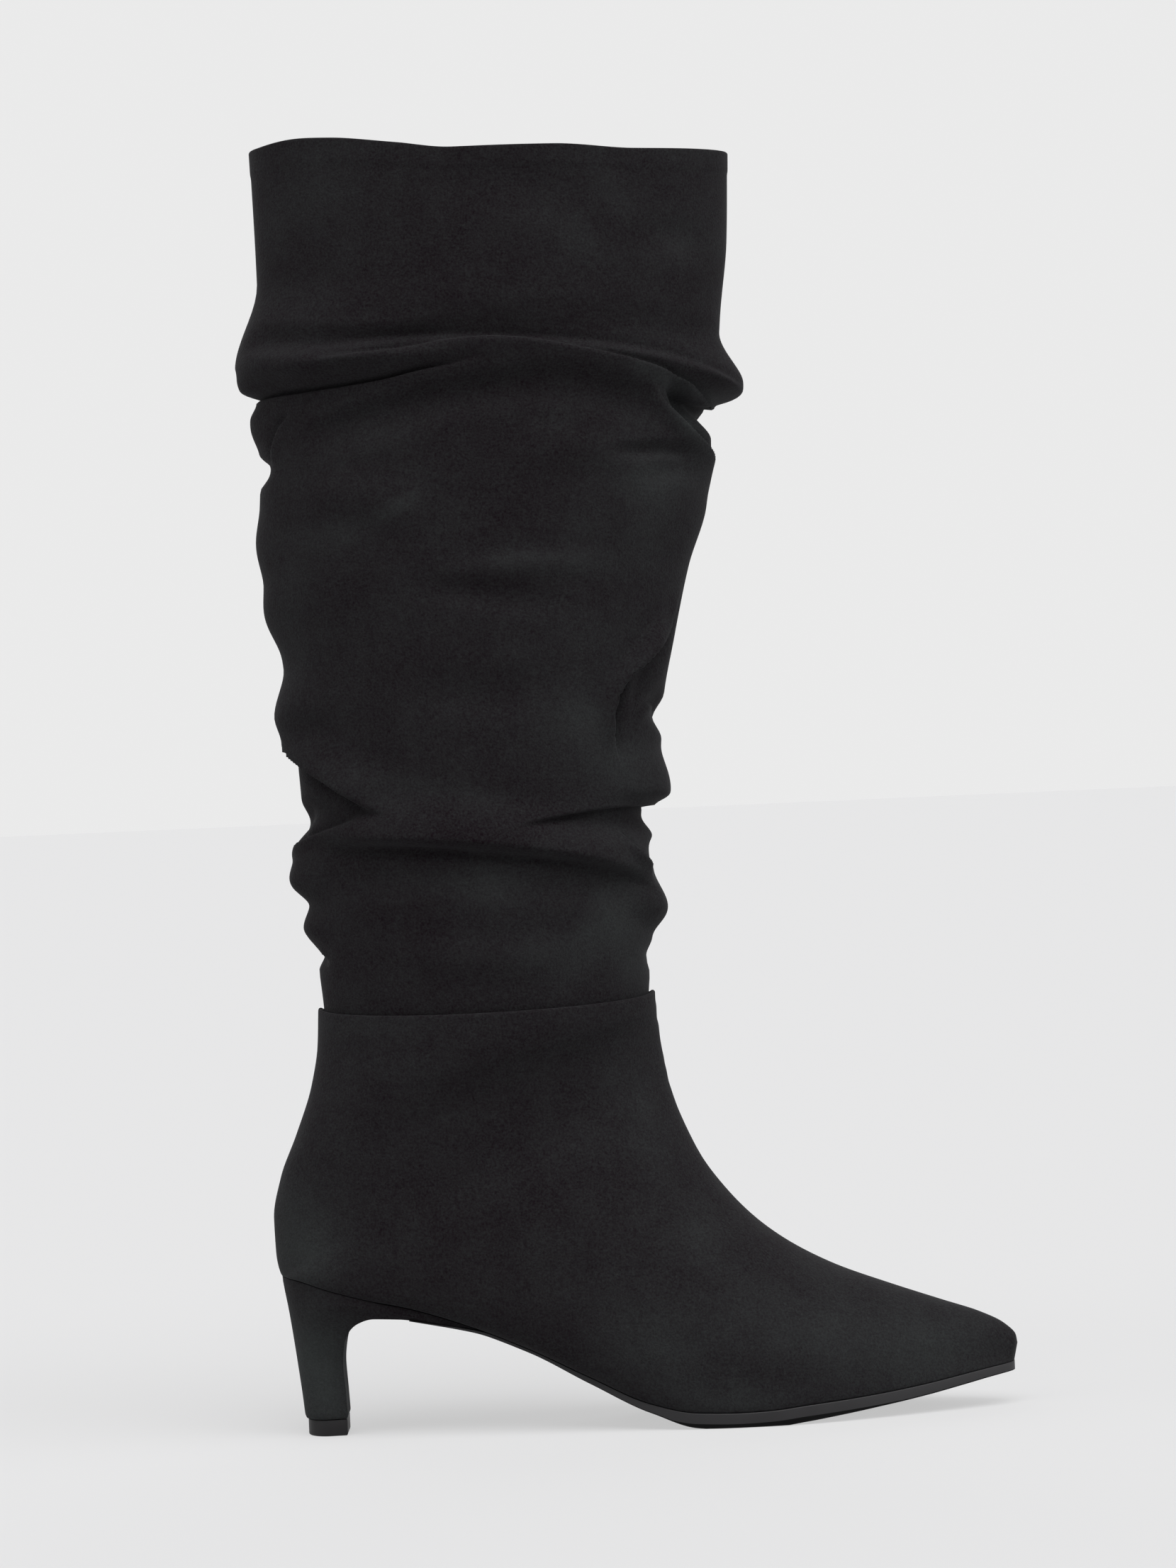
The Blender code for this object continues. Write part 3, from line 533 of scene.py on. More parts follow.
steps = np.concatenate([np.linspace(0, 3, 40)[:-1], np.linspace(3, SEAT_BACK, 120)[:-1],
                        np.linspace(SEAT_BACK, LAST_SECTION, 70)])
ways = np.linspace(-1, 1, 161)
foot_rows = eased_corner(foot_surface(*np.meshgrid(steps, ways, indexing="ij")), steps, ways)
foot_wall, foot_inner = folded_wall(foot_rows, UPPER_WALL, 2, False)
rows, columns = foot_wall.shape[:2]
outer_rows = len(foot_rows)
faces = join_grid(rows, columns, False, False)
first_row = faces[:, 0] // columns
deep = INSTEP_HEIGHT - TURNED_IN
is_lining = (first_row >= outer_rows + FOLD_ROUND - 1) & (foot_wall.reshape(-1, 3)[faces[:, 0], 2] < deep)
foot_finish = list(is_lining.astype(int))
foot_faces = faces.tolist()

# The wall's cut edges along the sole, from the toe back to the seat
inner_row = {row: rows - 1 - n for n, row in enumerate(foot_inner[::-1])}
seat_row = int(np.argmin(np.abs(steps - SEAT_BACK)))
edge_rows = [row for row in foot_inner[::-1] if row <= seat_row]
for low, high in zip(edge_rows, edge_rows[1:]):
    between = list(range(low, high + 1))
    for column, turned in ((0, False), (columns - 1, True)):
        ring = [row * columns + column for row in between]
        ring += [inner_row[high] * columns + column, inner_row[low] * columns + column]
        foot_faces.append(ring if turned else ring[::-1])
        foot_finish.append(0)
UPPER_SUEDE = goat_suede("black goat suede, lasted", side_seam)
upper = add_piece("suede_upper", foot_wall, foot_faces, [UPPER_SUEDE, LINING], np.array(foot_finish))
paint_nap_light(upper, FOOT_NAP_AND_LIGHT)
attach(upper, "root")
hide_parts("upper")

# Outsole: moulded black rubber, cemented under the upper from the toe back to the waist,
# where it thins to a tongue under the lip of the heel. Its side wall is satin and upright
# for three or four millimetres, and below that it is cut in and matt, down to the ground; the cut and the
# underside are drawn much darker, painted shade of the contact with the floor.

SOLE_MARGIN = 0.7 * MM    # how far the sole's edge stands out past the upper
SOLE_WALL = 3.5 * MM      # height of the upright side, where the sole is thicker
SOLE_CUT = 2.2 * MM       # how far the lower edge is cut in
SOLE_TOP_ROUND = 0.3 * MM
SOLE_GAP = 0.15 * MM      # the cement line under the upper
CUT_FACES = 8             # faces of a ring from the middle of the underside to the side wall

# The tongue at the waist: place along X, its underside and its thickness, in mm
TONGUE = (
    ("along", "under", "thick"),
    (30.0, 39.45, 0.2),
    (38.0, 37.75, 0.35),
    (46.0, 35.95, 0.7),
    (52.4, 34.3, 1.0),
    (56.0, 33.1, 1.2),
)


def outsole_points():
    """Rings across the sole: a flat underside, a cut corner, an upright side, a small round.

    The corner is a quarter of an ellipse, as high as the sole is thicker than its side wall.
    """
    near_toe = np.sin(np.linspace(0, math.pi / 2, 260))
    tongue_end = TONGUE[-1][0] * MM
    x = TONGUE[1][0] * MM + (along(FEATHER[-1][0]) - TONGUE[1][0] * MM) * near_toe
    waist = x < tongue_end
    low = np.maximum(feather_height(x) - feather("thick", x) * MM, 0.0)
    low = np.where(waist, read(TONGUE, "under", x / MM) * MM, low)
    top = np.where(waist, low + read(TONGUE, "thick", x / MM) * MM, feather_height(x) - SOLE_GAP)
    half = feather_half(x) + SOLE_MARGIN * np.clip(x / tongue_end, 0.3, 1.0)
    bend = np.maximum((top - low) * 0.12, top - low - SOLE_WALL)
    wide = np.minimum(np.minimum(SOLE_CUT, bend * 1.2), half * 0.5)
    tip = np.minimum(np.minimum(SOLE_TOP_ROUND, half * 0.3), (top - low) * 0.2)
    turn = np.linspace(0, math.pi / 2, 7)
    out = [half * 0, half * 0.5, *[half - wide * (1 - math.sin(a)) for a in turn],
           *[half - tip * (1 - math.cos(a)) for a in turn], half * 0.5, half * 0]
    up = [low, low, *[low + bend * (1 - math.cos(a)) for a in turn],
          *[top - tip * (1 - math.sin(a)) for a in turn], top, top]
    return even_rings(x, np.stack(out, axis=1), np.stack(up, axis=1))


# Moulded rubber: carbon-black filled, taken from a lightly blasted mould, so it is satin with
# a grain of about half a millimetre and a few faint flow marks.
def moulded_rubber(name, deep, pale, roughness, shine):
    made, tree, shader, place = start_material(name)
    grain = add_node(tree, "ShaderNodeTexNoise", {"Vector": place, "Scale": 1 / (0.6 * MM), "Detail": 2.0})
    flow = add_node(tree, "ShaderNodeTexNoise", {"Vector": place, "Scale": 1 / (14 * MM), "Detail": 2.0})
    gloss = add_node(tree, "ShaderNodeMapRange", {"Value": flow.outputs["Fac"], "From Min": 0.3,
                                                  "From Max": 0.7, "To Min": roughness - 0.06,
                                                  "To Max": roughness + 0.08})
    tone = add_node(tree, "ShaderNodeMix", {"Factor": flow.outputs["Fac"], 6: linear(deep),
                                            7: linear(pale)}, data_type="RGBA")
    bump = add_node(tree, "ShaderNodeBump", {"Height": grain.outputs["Fac"], "Strength": 0.2,
                                             "Distance": 0.08 * MM})
    set_inputs(tree, shader, {"Base Color": tone.outputs[2], "Roughness": gloss.outputs["Result"],
                              "Normal": bump.outputs["Normal"], "Specular IOR Level": shine})
    return made


SOLE_RUBBER = moulded_rubber("black sole rubber, edge", "#151416", "#1d1c1e", 0.5, 0.34)
# The cut-in edge and the underside: matt rubber drawn darker than the side wall, painted shade where the sole
# meets the floor
SHADED_GROUND_RUBBER = moulded_rubber("black sole rubber, painted ground shade", "#080808", "#0c0c0d", 0.85, 0.1)
sole = outsole_points()
sole_faces = bar_faces(*sole.shape[:2])
around = sole.shape[1]
column = np.arange((len(sole) - 1) * around) % around
shaded_cut = (column < CUT_FACES) | (column >= around - CUT_FACES)
outsole = add_piece("rubber_outsole", sole, sole_faces, [SOLE_RUBBER, SHADED_GROUND_RUBBER],
                    np.concatenate([shaded_cut, [True, True]]))
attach(outsole, "root")
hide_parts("outsole")

# Heel: a moulded block wrapped in the same suede, screwed up through the insole. It runs
# forward under the waist as a thin lip, and its breast is drawn smooth.

# Level sections through the covered heel, slanting forward into the lip, in mm.
# waist: half width; seat: how far the section has turned from the heel's own outline, 0,
# into the seat's, 100
HEEL = (
    ("step", "back", "back_height", "breast", "breast_height", "waist", "seat"),
    (0, -7.3, 5.8, 6.9, 5.8, 11.0, 0),
    (1, -7.7, 6.8, 7.2, 6.8, 11.5, 0),
    (2, -8.4, 14.0, 6.9, 14.0, 11.8, 0),
    (3, -9.6, 25.0, 6.4, 23.5, 13.2, 0),
    (4, -10.6, 34.0, 7.1, 30.5, 15.8, 6),
    (5, -11.3, 40.0, 9.0, 35.5, 18.3, 16),
    (6, -11.8, 44.0, 12.6, 38.8, 20.4, 30),
    (7, -12.3, 47.3, 18.0, 40.3, 22.4, 46),
    (8, -12.7, 49.8, 26.5, 40.0, 24.2, 62),
    (9, -13.0, 51.8, 38.0, 38.15, 25.7, 80),
    (10, -13.3, 53.2, 52.4, 35.2, 26.7, 96),
    (11, -13.5, 54.4, 52.4, 35.7, 27.0, 100),
)
HEEL_FULL = 0.55          # share of the way forward at which a heel section is widest
BREAST_SHARE = 0.93       # width of the breast against the widest part
SEAT_JOINS = 0.9          # from this share of the way to the seat, the heel takes its curve
HEEL_GAP = 0.3 * MM


def heel_points(step):
    """Rings round the heel, from its back over the inner side to the breast and home.

    The half width grows from the back as a quarter circle, eases to the breast, and turns
    from the heel's own outline into the seat's.
    """
    step = step[:, None]
    back, back_z, breast, breast_z, waist = (read(HEEL, name, step) * MM for name in HEEL[0][1:-1])
    seat = read(HEEL, "seat", step) / 100
    share = (1 - np.cos(np.linspace(0, math.pi / 2, 48)))[None, :]
    x = back + (breast - back) * share
    rear = np.sqrt(1 - (1 - np.clip(share / HEEL_FULL, 0, 1)) ** 2)
    ease = np.clip((share - HEEL_FULL) / (1 - HEEL_FULL), 0, 1)
    own = waist * rear * (1 - (1 - BREAST_SHARE) * ease)
    half = own * (1 - seat) + feather_half(x) * seat
    middle = feather_middle(x) * seat
    level = back_z + (breast_z - back_z) * share
    join = np.maximum((seat - SEAT_JOINS) / (1 - SEAT_JOINS), 0.0)
    z = level + (feather_height(x) - HEEL_GAP - level) * join
    across = np.linspace(1, -1, 14)[1:-1]
    front_y = middle[:, -1:] + half[:, -1:] * across
    front_x = np.broadcast_to(x[:, -1:], front_y.shape)
    front_z = np.broadcast_to(z[:, -1:], front_y.shape)
    ring_x = np.concatenate([x, front_x, x[:, :0:-1]], axis=1)
    ring_y = np.concatenate([middle + half, front_y, (middle - half)[:, :0:-1]], axis=1)
    ring_z = np.concatenate([z, front_z, z[:, :0:-1]], axis=1)
    return np.stack([ring_x, ring_y, ring_z], axis=-1)


heel_steps = np.concatenate([[0, 0.25, 0.5], np.linspace(1, 11, 110)])
heel_rings = heel_points(heel_steps)
HEEL_SUEDE = goat_suede("black goat suede, wrapped", None)
heel = add_piece("suede_heel", heel_rings, bar_faces(*heel_rings.shape[:2]), [HEEL_SUEDE])
# The heel's suede painted paler at the back, painted light from the floor, and darker in a slanting band near
# its top towards the front
HEEL_NAP_AND_LIGHT = (FOOT_NAP_AND_LIGHT[0], (-3, 22, 14, 22, 0, 2.1), (22, 42, 26, 5, -14, -0.3))
paint_nap_light(heel, HEEL_NAP_AND_LIGHT)
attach(heel, "root")
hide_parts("heel")

# Top lift: a moulded rubber tip pinned under the heel, set in a little at the back and with
# its lower edge broken.

LIFT_HEIGHT = 5.5 * MM
LIFT_INSET = 0.6 * MM     # how far its back lies inside the heel's
LIFT_ROUND = 0.6 * MM     # radius of its lower edge
LIFT_TOP_ROUND = 0.3 * LIFT_ROUND
tip_ring = heel_points(np.array([0.0]))[0]
tip_front = tip_ring[:, 0].max()
tip_size = tip_front - tip_ring[:, 0].min()
turn = np.linspace(0, math.pi / 2, 7)
lift_inset = np.concatenate([LIFT_ROUND * (1 - np.sin(turn)), [0.0],
                             LIFT_TOP_ROUND * (1 - np.cos(turn[::3]))])
lift_level = np.concatenate([LIFT_ROUND * (1 - np.cos(turn)), [LIFT_HEIGHT / 2],
                             LIFT_HEIGHT - LIFT_TOP_ROUND * (1 - np.sin(turn[::3]))])
shrink_x = 1 - (LIFT_INSET + 2 * lift_inset) / tip_size
shrink_y = 1 - (LIFT_INSET / 2 + 2 * lift_inset) / tip_size
lift_x = tip_front - lift_inset[:, None] - (tip_front - tip_ring[:, 0]) * shrink_x[:, None]
lift_y = tip_ring[:, 1] * shrink_y[:, None]
lift_points = np.stack([lift_x, lift_y, np.broadcast_to(lift_level[:, None], lift_x.shape)], axis=-1)
LIFT_RUBBER = moulded_rubber("black tip rubber", "#121113", "#191819", 0.6, 0.22)
lift = add_piece("rubber_top_lift", lift_points, bar_faces(*lift_points.shape[:2]), [LIFT_RUBBER])
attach(lift, "root")
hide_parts("top_lift")

# Leg: a wide tube of the same suede on a thin lining, cut in an outer and an inner panel and
# sewn up the front and the back. It is tucked inside the foot part's top edge and left to
# slouch into folds. Its collar is turned in, and the turning shows as a faint line below it.

COLLAR_HEIGHT = 0.431     # floor to the collar at the front
SHAFT_WALL = 1.5 * MM
COLLAR_SETTLES = 375 * MM  # below this height the collar's slant is not felt
HEM = (423.4, 2.0, 0.22)   # lower edge of the turning, its softness and its thickness, in mm

# The leg before it slouches, in mm: front and back along X, half width across
LEG = (
    ("height", "front", "back", "half"),
    (137.0, 114.8, 5.0, 36.8),
    (144.0, 115.3, 4.7, 37.8),
    (155.0, 116.4, 3.8, 38.9),
    (180.0, 118.8, 1.4, 40.8),
    (205.0, 119.0, 0.5, 42.3),
    (225.0, 122.8, -0.4, 43.5),
    (245.0, 124.8, -2.7, 44.6),
    (265.0, 129.2, -4.6, 45.6),
    (290.0, 135.4, -9.6, 46.5),
    (310.0, 142.3, -10.0, 47.0),
    (330.0, 144.5, -9.0, 47.3),
    (350.0, 147.5, -9.0, 47.3),
    (375.0, 149.8, -7.4, 47.2),
    (400.0, 153.0, -7.5, 46.6),
    (440.0, 154.8, -8.3, 46.0),
)

# The collar's edge round the leg: 0 is the front, 90 the outer side, 180 the back
COLLAR = (
    ("turn", "height"),
    (0.0, 429.0),
    (30.0, 428.2),
    (53.0, 427.8),
    (74.0, 429.6),
    (98.0, 429.8),
    (112.0, 432.5),
    (130.0, 435.8),
    (144.0, 436.8),
    (165.0, 436.0),
    (230.0, 436.5),
    (290.0, 434.0),
    (360.0, 429.0),
)

# Soft folds of the leg. Each runs through three points, as turn in degrees and height in mm.
# reach: how far it stands out, or in where negative, over and under: its width above and
# below, sag: how far it hangs down, ends: share of its length over which it fades
FOLDS = (
    ("turn_1", "height_1", "turn_2", "height_2", "turn_3", "height_3",
     "reach", "over", "under", "sag", "ends"),
    # upper fold, whose lip runs from the back down into the bulge at the front
    (-5, 345, 75, 362, 150, 364, 3.6, 5, 17, -1.0, 0.20),
    (-8, 358, 70, 371, 158, 372, -1.0, 10, 7, 0.0, 0.22),
    (-64, 352, 2, 352, 44, 357, 9.2, 17, 7, 2.6, 0.40),
    # lens of cloth below it, wrapped round the back and overhanging a deep crease
    (92, 363, 146, 364, 256, 371, 8.2, 26, 11, 2.0, 0.35),
    (148, 355.5, 180, 356, 216, 358, 6.0, 9, 5, 0.0, 0.40),
    (100, 355, 142, 350, 235, 351, -1.4, 3, 4, 0.0, 0.30),
    (152, 344, 178, 344, 214, 342, 2.8, 8, 12, 0.5, 0.40),
    (155, 329, 182, 328, 215, 331, -4.5, 6, 7, 0.0, 0.40),
    # hollow under the front bulge and the ridge that leaves it downwards
    (-30, 338, 8, 340, 44, 350, -6.5, 6, 7, 0.0, 0.35),
    (-35, 322, 6, 327, 45, 347, 1.2, 7, 14, 1.0, 0.35),
    # soft relief of the middle of the leg
    (46, 290, 78, 291, 104, 287, 1.4, 6, 7, 0.0, 0.45),
    (58, 277, 84, 281, 112, 287, -1.8, 7, 8, 0.0, 0.45),
    (100, 300, 122, 316, 150, 310, 1.8, 12, 12, 0.0, 0.45),
    (40, 318, 62, 330, 90, 322, 1.5, 12, 12, 0.0, 0.45),
    (14, 318, 30, 322, 48, 316, -1.6, 5, 6, 0.0, 0.45),
    (150, 292, 185, 303, 225, 296, 1.8, 14, 14, 0.0, 0.45),
    (146, 276, 182, 277, 220, 277, 2.2, 14, 14, 0.0, 0.45),
    (55, 258, 85, 248, 120, 256, -1.5, 12, 12, 0.0, 0.45),
    (60, 402, 85, 418, 110, 410, -1.2, 14, 14, 0.0, 0.45),
    (20, 392, 38, 400, 58, 396, -1.4, 9, 10, 0.0, 0.45),
    # pinch at the front seam
    (19, 274, 36, 254, 41, 231, 3.5, 7, 9, 0.0, 0.35),
    (-25, 236, 8, 240, 30, 244, -3.5, 8, 8, 0.0, 0.40),
    # big bulge of the back and its slanting lower edge
    (128, 248, 180, 247, 236, 249, 4.2, 14, 10, 1.0, 0.40),
    (112, 208, 142, 224, 196, 245, 4.0, 14, 6, 3.0, 0.35),
    (158, 208, 182, 208, 216, 208, -1.6, 7, 6, 0.0, 0.40),
    (128, 207, 150, 213, 190, 208, -3.4, 6, 9, 0.0, 0.35),
    # front bulge over its overhanging crease
    (-55, 213, 2, 215.5, 52, 216.5, 4.8, 14, 6, 1.5, 0.40),
    (-40, 203, 20, 204, 78, 200, -2.2, 5, 6, 0.0, 0.35),
    # lowest big fold, hanging over the ankle
    (6, 182, 83, 200.5, 160, 203.5, 4.8, 15, 6, 1.6, 0.24),
    (138, 196, 180, 195, 222, 195, 4.4, 9, 16, 0.5, 0.40),
    (194, 200, 265, 195, 350, 180, 4.4, 16, 5, 2.0, 0.20),
    (26, 178, 85, 187, 158, 188, -1.6, 6, 10, 0.0, 0.30),
    (202, 186, 265, 183, 334, 176, -2.5, 6, 9, 0.0, 0.30),
    (146, 186, 180, 187, 216, 186, 3.5, 10, 8, 0.0, 0.40),
    (132, 209, 160, 204, 206, 196, 2.4, 6, 6, 0.5, 0.40),
    (-34, 175, 4, 176, 40, 185, 4.6, 12, 12, 1.5, 0.40),
    (14, 190, 27, 193, 36, 202, 2.0, 5, 5, 0.0, 0.40),
    (-28, 192, 2, 193, 16, 191, -3.0, 6, 6, 0.0, 0.40),
    # slack above the foot part's top edge
    (146, 171, 180, 173, 220, 172, 3.0, 8, 7, 1.0, 0.40),
    (150, 162, 180, 163, 216, 163, -2.5, 6, 6, 0.0, 0.40),
    (-30, 158, 0, 158, 26, 159, -1.6, 6, 7, 0.0, 0.40),
    (45, 164, 85, 160, 130, 166, 1.2, 10, 10, 0.0, 0.45),
    # inner side of the leg, which lies much the same
    (196, 364, 265, 371, 340, 353, 4.0, 6, 16, -1.0, 0.25),
    (200, 374, 265, 380, 342, 362, -3.0, 8, 6, 0.0, 0.25),
    (240, 346, 275, 336, 318, 342, 2.5, 9, 12, 1.0, 0.40),
    (205, 236, 262, 226, 320, 214, 4.5, 15, 7, 3.5, 0.30),
    (212, 226, 262, 216, 322, 205, -3.0, 6, 7, 0.0, 0.30),
    (235, 300, 270, 288, 310, 298, 1.8, 12, 12, 0.0, 0.45),
    (230, 268, 268, 258, 312, 270, -1.6, 12, 12, 0.0, 0.45),
)
# Sharp edges of the folds, where one side stands over the other. Each runs through the
# points of its path, as turn in degrees and height in mm, from the front towards the back.
# left and right: how far the cloth stands out, or in where negative, beside the edge, as
# seen along the path, each with its width, laps: how far the proud side laps the other
EDGES = (
    ("left", "left_width", "right", "right_width", "laps", "ends", "path"),
    # upper fold: the cloth below stands out from the cloth above
    (-3.4, 11, 1.6, 9, 1.0, 0.16, ((-16, 343), (8, 344), (26, 348.5), (47, 356), (66, 361.5),
                                   (84, 366), (98, 366), (110, 364), (124, 363), (138, 362.5))),
    (-3.0, 12, 1.5, 9, 1.0, 0.22, ((205, 367), (240, 373), (272, 372), (312, 362), (346, 352))),
    (-3.4, 9, -3.0, 5, 0.0, 0.25, ((92, 367), (112, 365.5), (130, 366.5), (150, 369), (170, 371))),
    # front bulge: it hangs over the hollow below it
    (1.0, 8, -3.4, 6, 1.6, 0.30, ((-46, 350), (-20, 345), (8, 343), (28, 345), (48, 352))),
    # deep crease at the back: the cloth above rolls in behind the lip of the cloth below
    (-4.8, 3.8, 1.4, 8, 1.2, 0.18, ((88, 360.3), (104, 356.6), (118, 353.4), (142, 351.6),
                                    (180, 351), (222, 350))),
    # soft valley under the roll of cloth, from the back round to the ridge below
    (-2.8, 7, -2.8, 11, 0.0, 0.22, ((37, 333), (42, 338), (50, 344.5), (64, 350), (79, 352),
                                    (96, 348.5), (115, 343.5), (150, 334))),
    # ridge that leaves the front bulge downwards, with a pocket behind it
    (-4.4, 8, 2.4, 7, 0.6, 0.34, ((-4, 323), (10, 327), (20, 331), (29, 336), (38, 343), (47, 352))),
    (-3.6, 5, -3.6, 4, 0.0, 0.35, ((20, 334), (28, 341), (35, 347.5), (44, 354))),
    (-2.4, 4, -2.4, 4, 0.0, 0.35, ((18, 325.5), (36, 328), (60, 327))),
    (-1.8, 6, 1.0, 8, 0.0, 0.30, ((146, 346), (153, 342), (158, 336), (162, 329))),
    # pinch at the front seam
    (2.8, 9, -6.0, 16, 0.0, 0.30, ((6, 282), (20, 267), (32, 257.6), (40, 250.4), (43, 241.4),
                                   (41.5, 230), (38, 221))),
    (-1.6, 5, 0.8, 6, 0.0, 0.35, ((2, 238), (14, 243), (27, 241), (36, 232))),
    # crease below the front bulge, overhung
    (0.6, 10, -4.4, 10, 1.2, 0.20, ((-58, 205), (-25, 208.5), (0, 209.3), (27, 209.5), (46, 208.8),
                                    (60, 207.3), (72, 205), (82, 202))),
    (-3.0, 5, 1.2, 8, 0.3, 0.30, ((14, 187), (24, 191), (32, 196), (37, 203))),
    # slanting lower edge of the back bulge, and the ridge below its pocket
    (1.3, 12, -4.2, 9, 0.5, 0.26, ((117, 209), (128, 212.5), (136, 217), (145, 222), (165, 230.5),
                                   (186, 236))),
    (-3.4, 7, 0.8, 9, 0.4, 0.26, ((126, 210), (143, 206), (160, 203), (182, 200))),
    # lip of the lowest fold
    (0.3, 8, -2.6, 12, 0.0, 0.30, ((12, 178), (28, 184.3), (43, 188.6), (60, 192.2), (83, 195.2),
                                    (105, 198.2), (130, 199.5), (154, 198))),
    (1.1, 12, -2.8, 9, 1.0, 0.18, ((192, 194), (225, 192), (265, 187), (305, 182), (342, 179))),
    (1.0, 6, -1.6, 6, 0.5, 0.35, ((156, 161), (172, 164), (188, 168))),
)
EDGE_SOFT = 0.9           # half the width of the turn from one side of an edge to the other
MM_PER_DEGREE = 1.08      # mean length of one degree of turn round the leg
PATCH = 30                # how far beyond a path it can be felt, in mm


def curve_through(points):
    """A smooth path through points: on each stretch a cubic that leaves and meets them steady.

    The slope at a point is half the step from the one before to the one after.
    """
    points = np.array(points, dtype=float) * (MM_PER_DEGREE, 1.0)
    ends = np.concatenate([points[:1], points, points[-1:]])
    slope = (ends[2:] - ends[:-2]) / 2
    t = np.linspace(0, 1, 12, endpoint=False)[:, None, None]
    start, end = points[:-1], points[1:]
    rise = t * (1 - t) * ((1 - t) * slope[:-1] - t * slope[1:])
    part = start + (end - start) * t * t * (3 - 2 * t) + rise
    return np.concatenate([part.transpose(1, 0, 2).reshape(-1, 2), points[-1:]])


def beside(path, turn, height):
    """Which points a path can be felt at, their signed distance from it and a fade.

    The distance is positive on the left of the path. The fade is a smooth step from nothing
    at each end of the path, given the share of its length already passed.
    """
    middle = path[len(path) // 2, 0] / MM_PER_DEGREE
    near = (turn - middle + 180) % 360 - 180 + middle
    place = np.stack([near * MM_PER_DEGREE, height], axis=-1)
    felt = np.all((place > path.min(axis=0) - PATCH) & (place < path.max(axis=0) + PATCH), axis=-1)
    away = place[felt][:, None, :] - path
    nearest = np.argmin((away ** 2).sum(axis=-1), axis=-1)
    heading = np.gradient(path, axis=0)
    spacing = np.linalg.norm(heading, axis=1)
    heading /= spacing[:, None]
    offset = away[np.arange(len(away)), nearest]
    ahead = heading[nearest]
    side = ahead[:, 0] * offset[:, 1] - ahead[:, 1] * offset[:, 0]
    onward = (ahead * offset).sum(axis=-1)
    length = np.concatenate([[0.0], np.cumsum(np.linalg.norm(np.diff(path, axis=0), axis=1))])
    share = np.clip((length[nearest] + onward) / length[-1], 0, 1)
    return felt, side, share


def soft_folds(turn, height):
    """How far the soft folds push the cloth out and let it hang, in mm.

    Across its path each is half a cosine wave, with its own width on each side.
    """
    reach, sag = np.zeros_like(height), np.zeros_like(height)
    for values in FOLDS[1:]:
        row = dict(zip(FOLDS[0], values))
        first, mid, last = (np.array([row["turn_" + n] * MM_PER_DEGREE, row["height_" + n]]) for n in "123")
        t = np.linspace(0, 1, 40)[:, None]
        path = (1 - t) ** 2 * first + t * (1 - t) * (4 * mid - first - last) + t ** 2 * last
        felt, side, share = beside(path, turn, height)
        width = np.where(side > 0, row["over"], row["under"])
        wave = 0.5 + 0.5 * np.cos(np.pi * np.clip(np.abs(side) / width, 0, 1))
        wave *= smooth(np.minimum(share, 1 - share) / row["ends"])
        reach[felt] += row["reach"] * wave
        sag[felt] += row["sag"] * wave
    return reach, sag


def flank(share, hollow):
    """How strongly one side of an edge is felt at a share of its width away from the edge.

    It is half a cosine wave, or where hollow, the square of the share that is left.
    """
    left = np.clip(1 - share, 0, 1)
    return left ** 2 if hollow else 0.5 - 0.5 * np.cos(np.pi * left)


def sharp_edges(turn, height):
    """How far the sharp edges push the cloth out and lap it up or down, in mm.

    A smooth step a little under two millimetres wide turns one side into the other.
    """
    reach, lap = np.zeros_like(height), np.zeros_like(height)
    for values in EDGES[1:]:
        row = dict(zip(EDGES[0], values))
        felt, side, share = beside(curve_through(row["path"]), turn, height)
        on_left = smooth(0.5 + side / (2 * EDGE_SOFT))
        fade = smooth(np.minimum(share, 1 - share) / row["ends"])
        stepped = row["left"] * row["right"] < 0
        left = fade * on_left * flank(side / row["left_width"], stepped and row["left"] < 0)
        right = fade * (1 - on_left) * flank(-side / row["right_width"], stepped and row["right"] < 0)
        reach[felt] += row["left"] * left + row["right"] * right
        lap[felt] += row["laps"] * (right if row["right"] > row["left"] else -left)
    return reach, lap


def leg_parts(turn, height):
    """How far the cloth stands off the smooth leg, and its height once it hangs, in mm."""
    level = height / MM
    reach, sag = soft_folds(turn, level)
    edge_reach, lap = sharp_edges(turn, level - sag)
    low, soft, thick = HEM
    reach += edge_reach + thick * smooth((level - low) / soft)
    lift = read(COLLAR, "height", turn % 360) * MM - COLLAR_HEIGHT
    rise = np.clip((height - COLLAR_SETTLES) / (COLLAR_HEIGHT - COLLAR_SETTLES), 0, 1)
    return reach, level - sag + lap + lift * rise * rise / MM


def leg_point(turn, height, reach, z):
    """A point off the smooth leg, an ellipse at each height, along that ellipse's normal."""
    front, back, half = (read(LEG, name, height / MM) for name in ("front", "back", "half"))
    long_half = (front - back) / 2
    angle = np.radians(turn)
    flat_x = np.cos(angle) / long_half
    flat_y = np.sin(angle) / half
    size = np.hypot(flat_x, flat_y)
    x = (front + back) / 2 + long_half * np.cos(angle) + reach * flat_x / size
    y = -(half * np.sin(angle) + reach * flat_y / size)
    return np.stack([x, y, z], axis=-1) * MM


# The leg's rows from below, closest where it folds: height in mm, rows up to the next
LEG_ROWS = ((137, 8), (158, 108), (234, 28), (280, 24), (324, 84), (380, 14), (419, 16), (431, 0))
heights = [float(LEG_ROWS[0][0])]
for (low, count), (high, _) in zip(LEG_ROWS, LEG_ROWS[1:]):
    heights += list(low + (high - low) * (np.arange(count) + 1) / count)
# Its columns run clockwise seen from above, closest on the outer side
turns = np.concatenate([np.linspace(190, -10, 210, endpoint=False),
                        np.linspace(-10, -170, 80, endpoint=False)])
height, turn = np.meshgrid(np.array(heights) * MM, turns, indexing="ij")
leg_reach, leg_z = leg_parts(turn, height)
outer = leg_point(turn, height, leg_reach, leg_z)

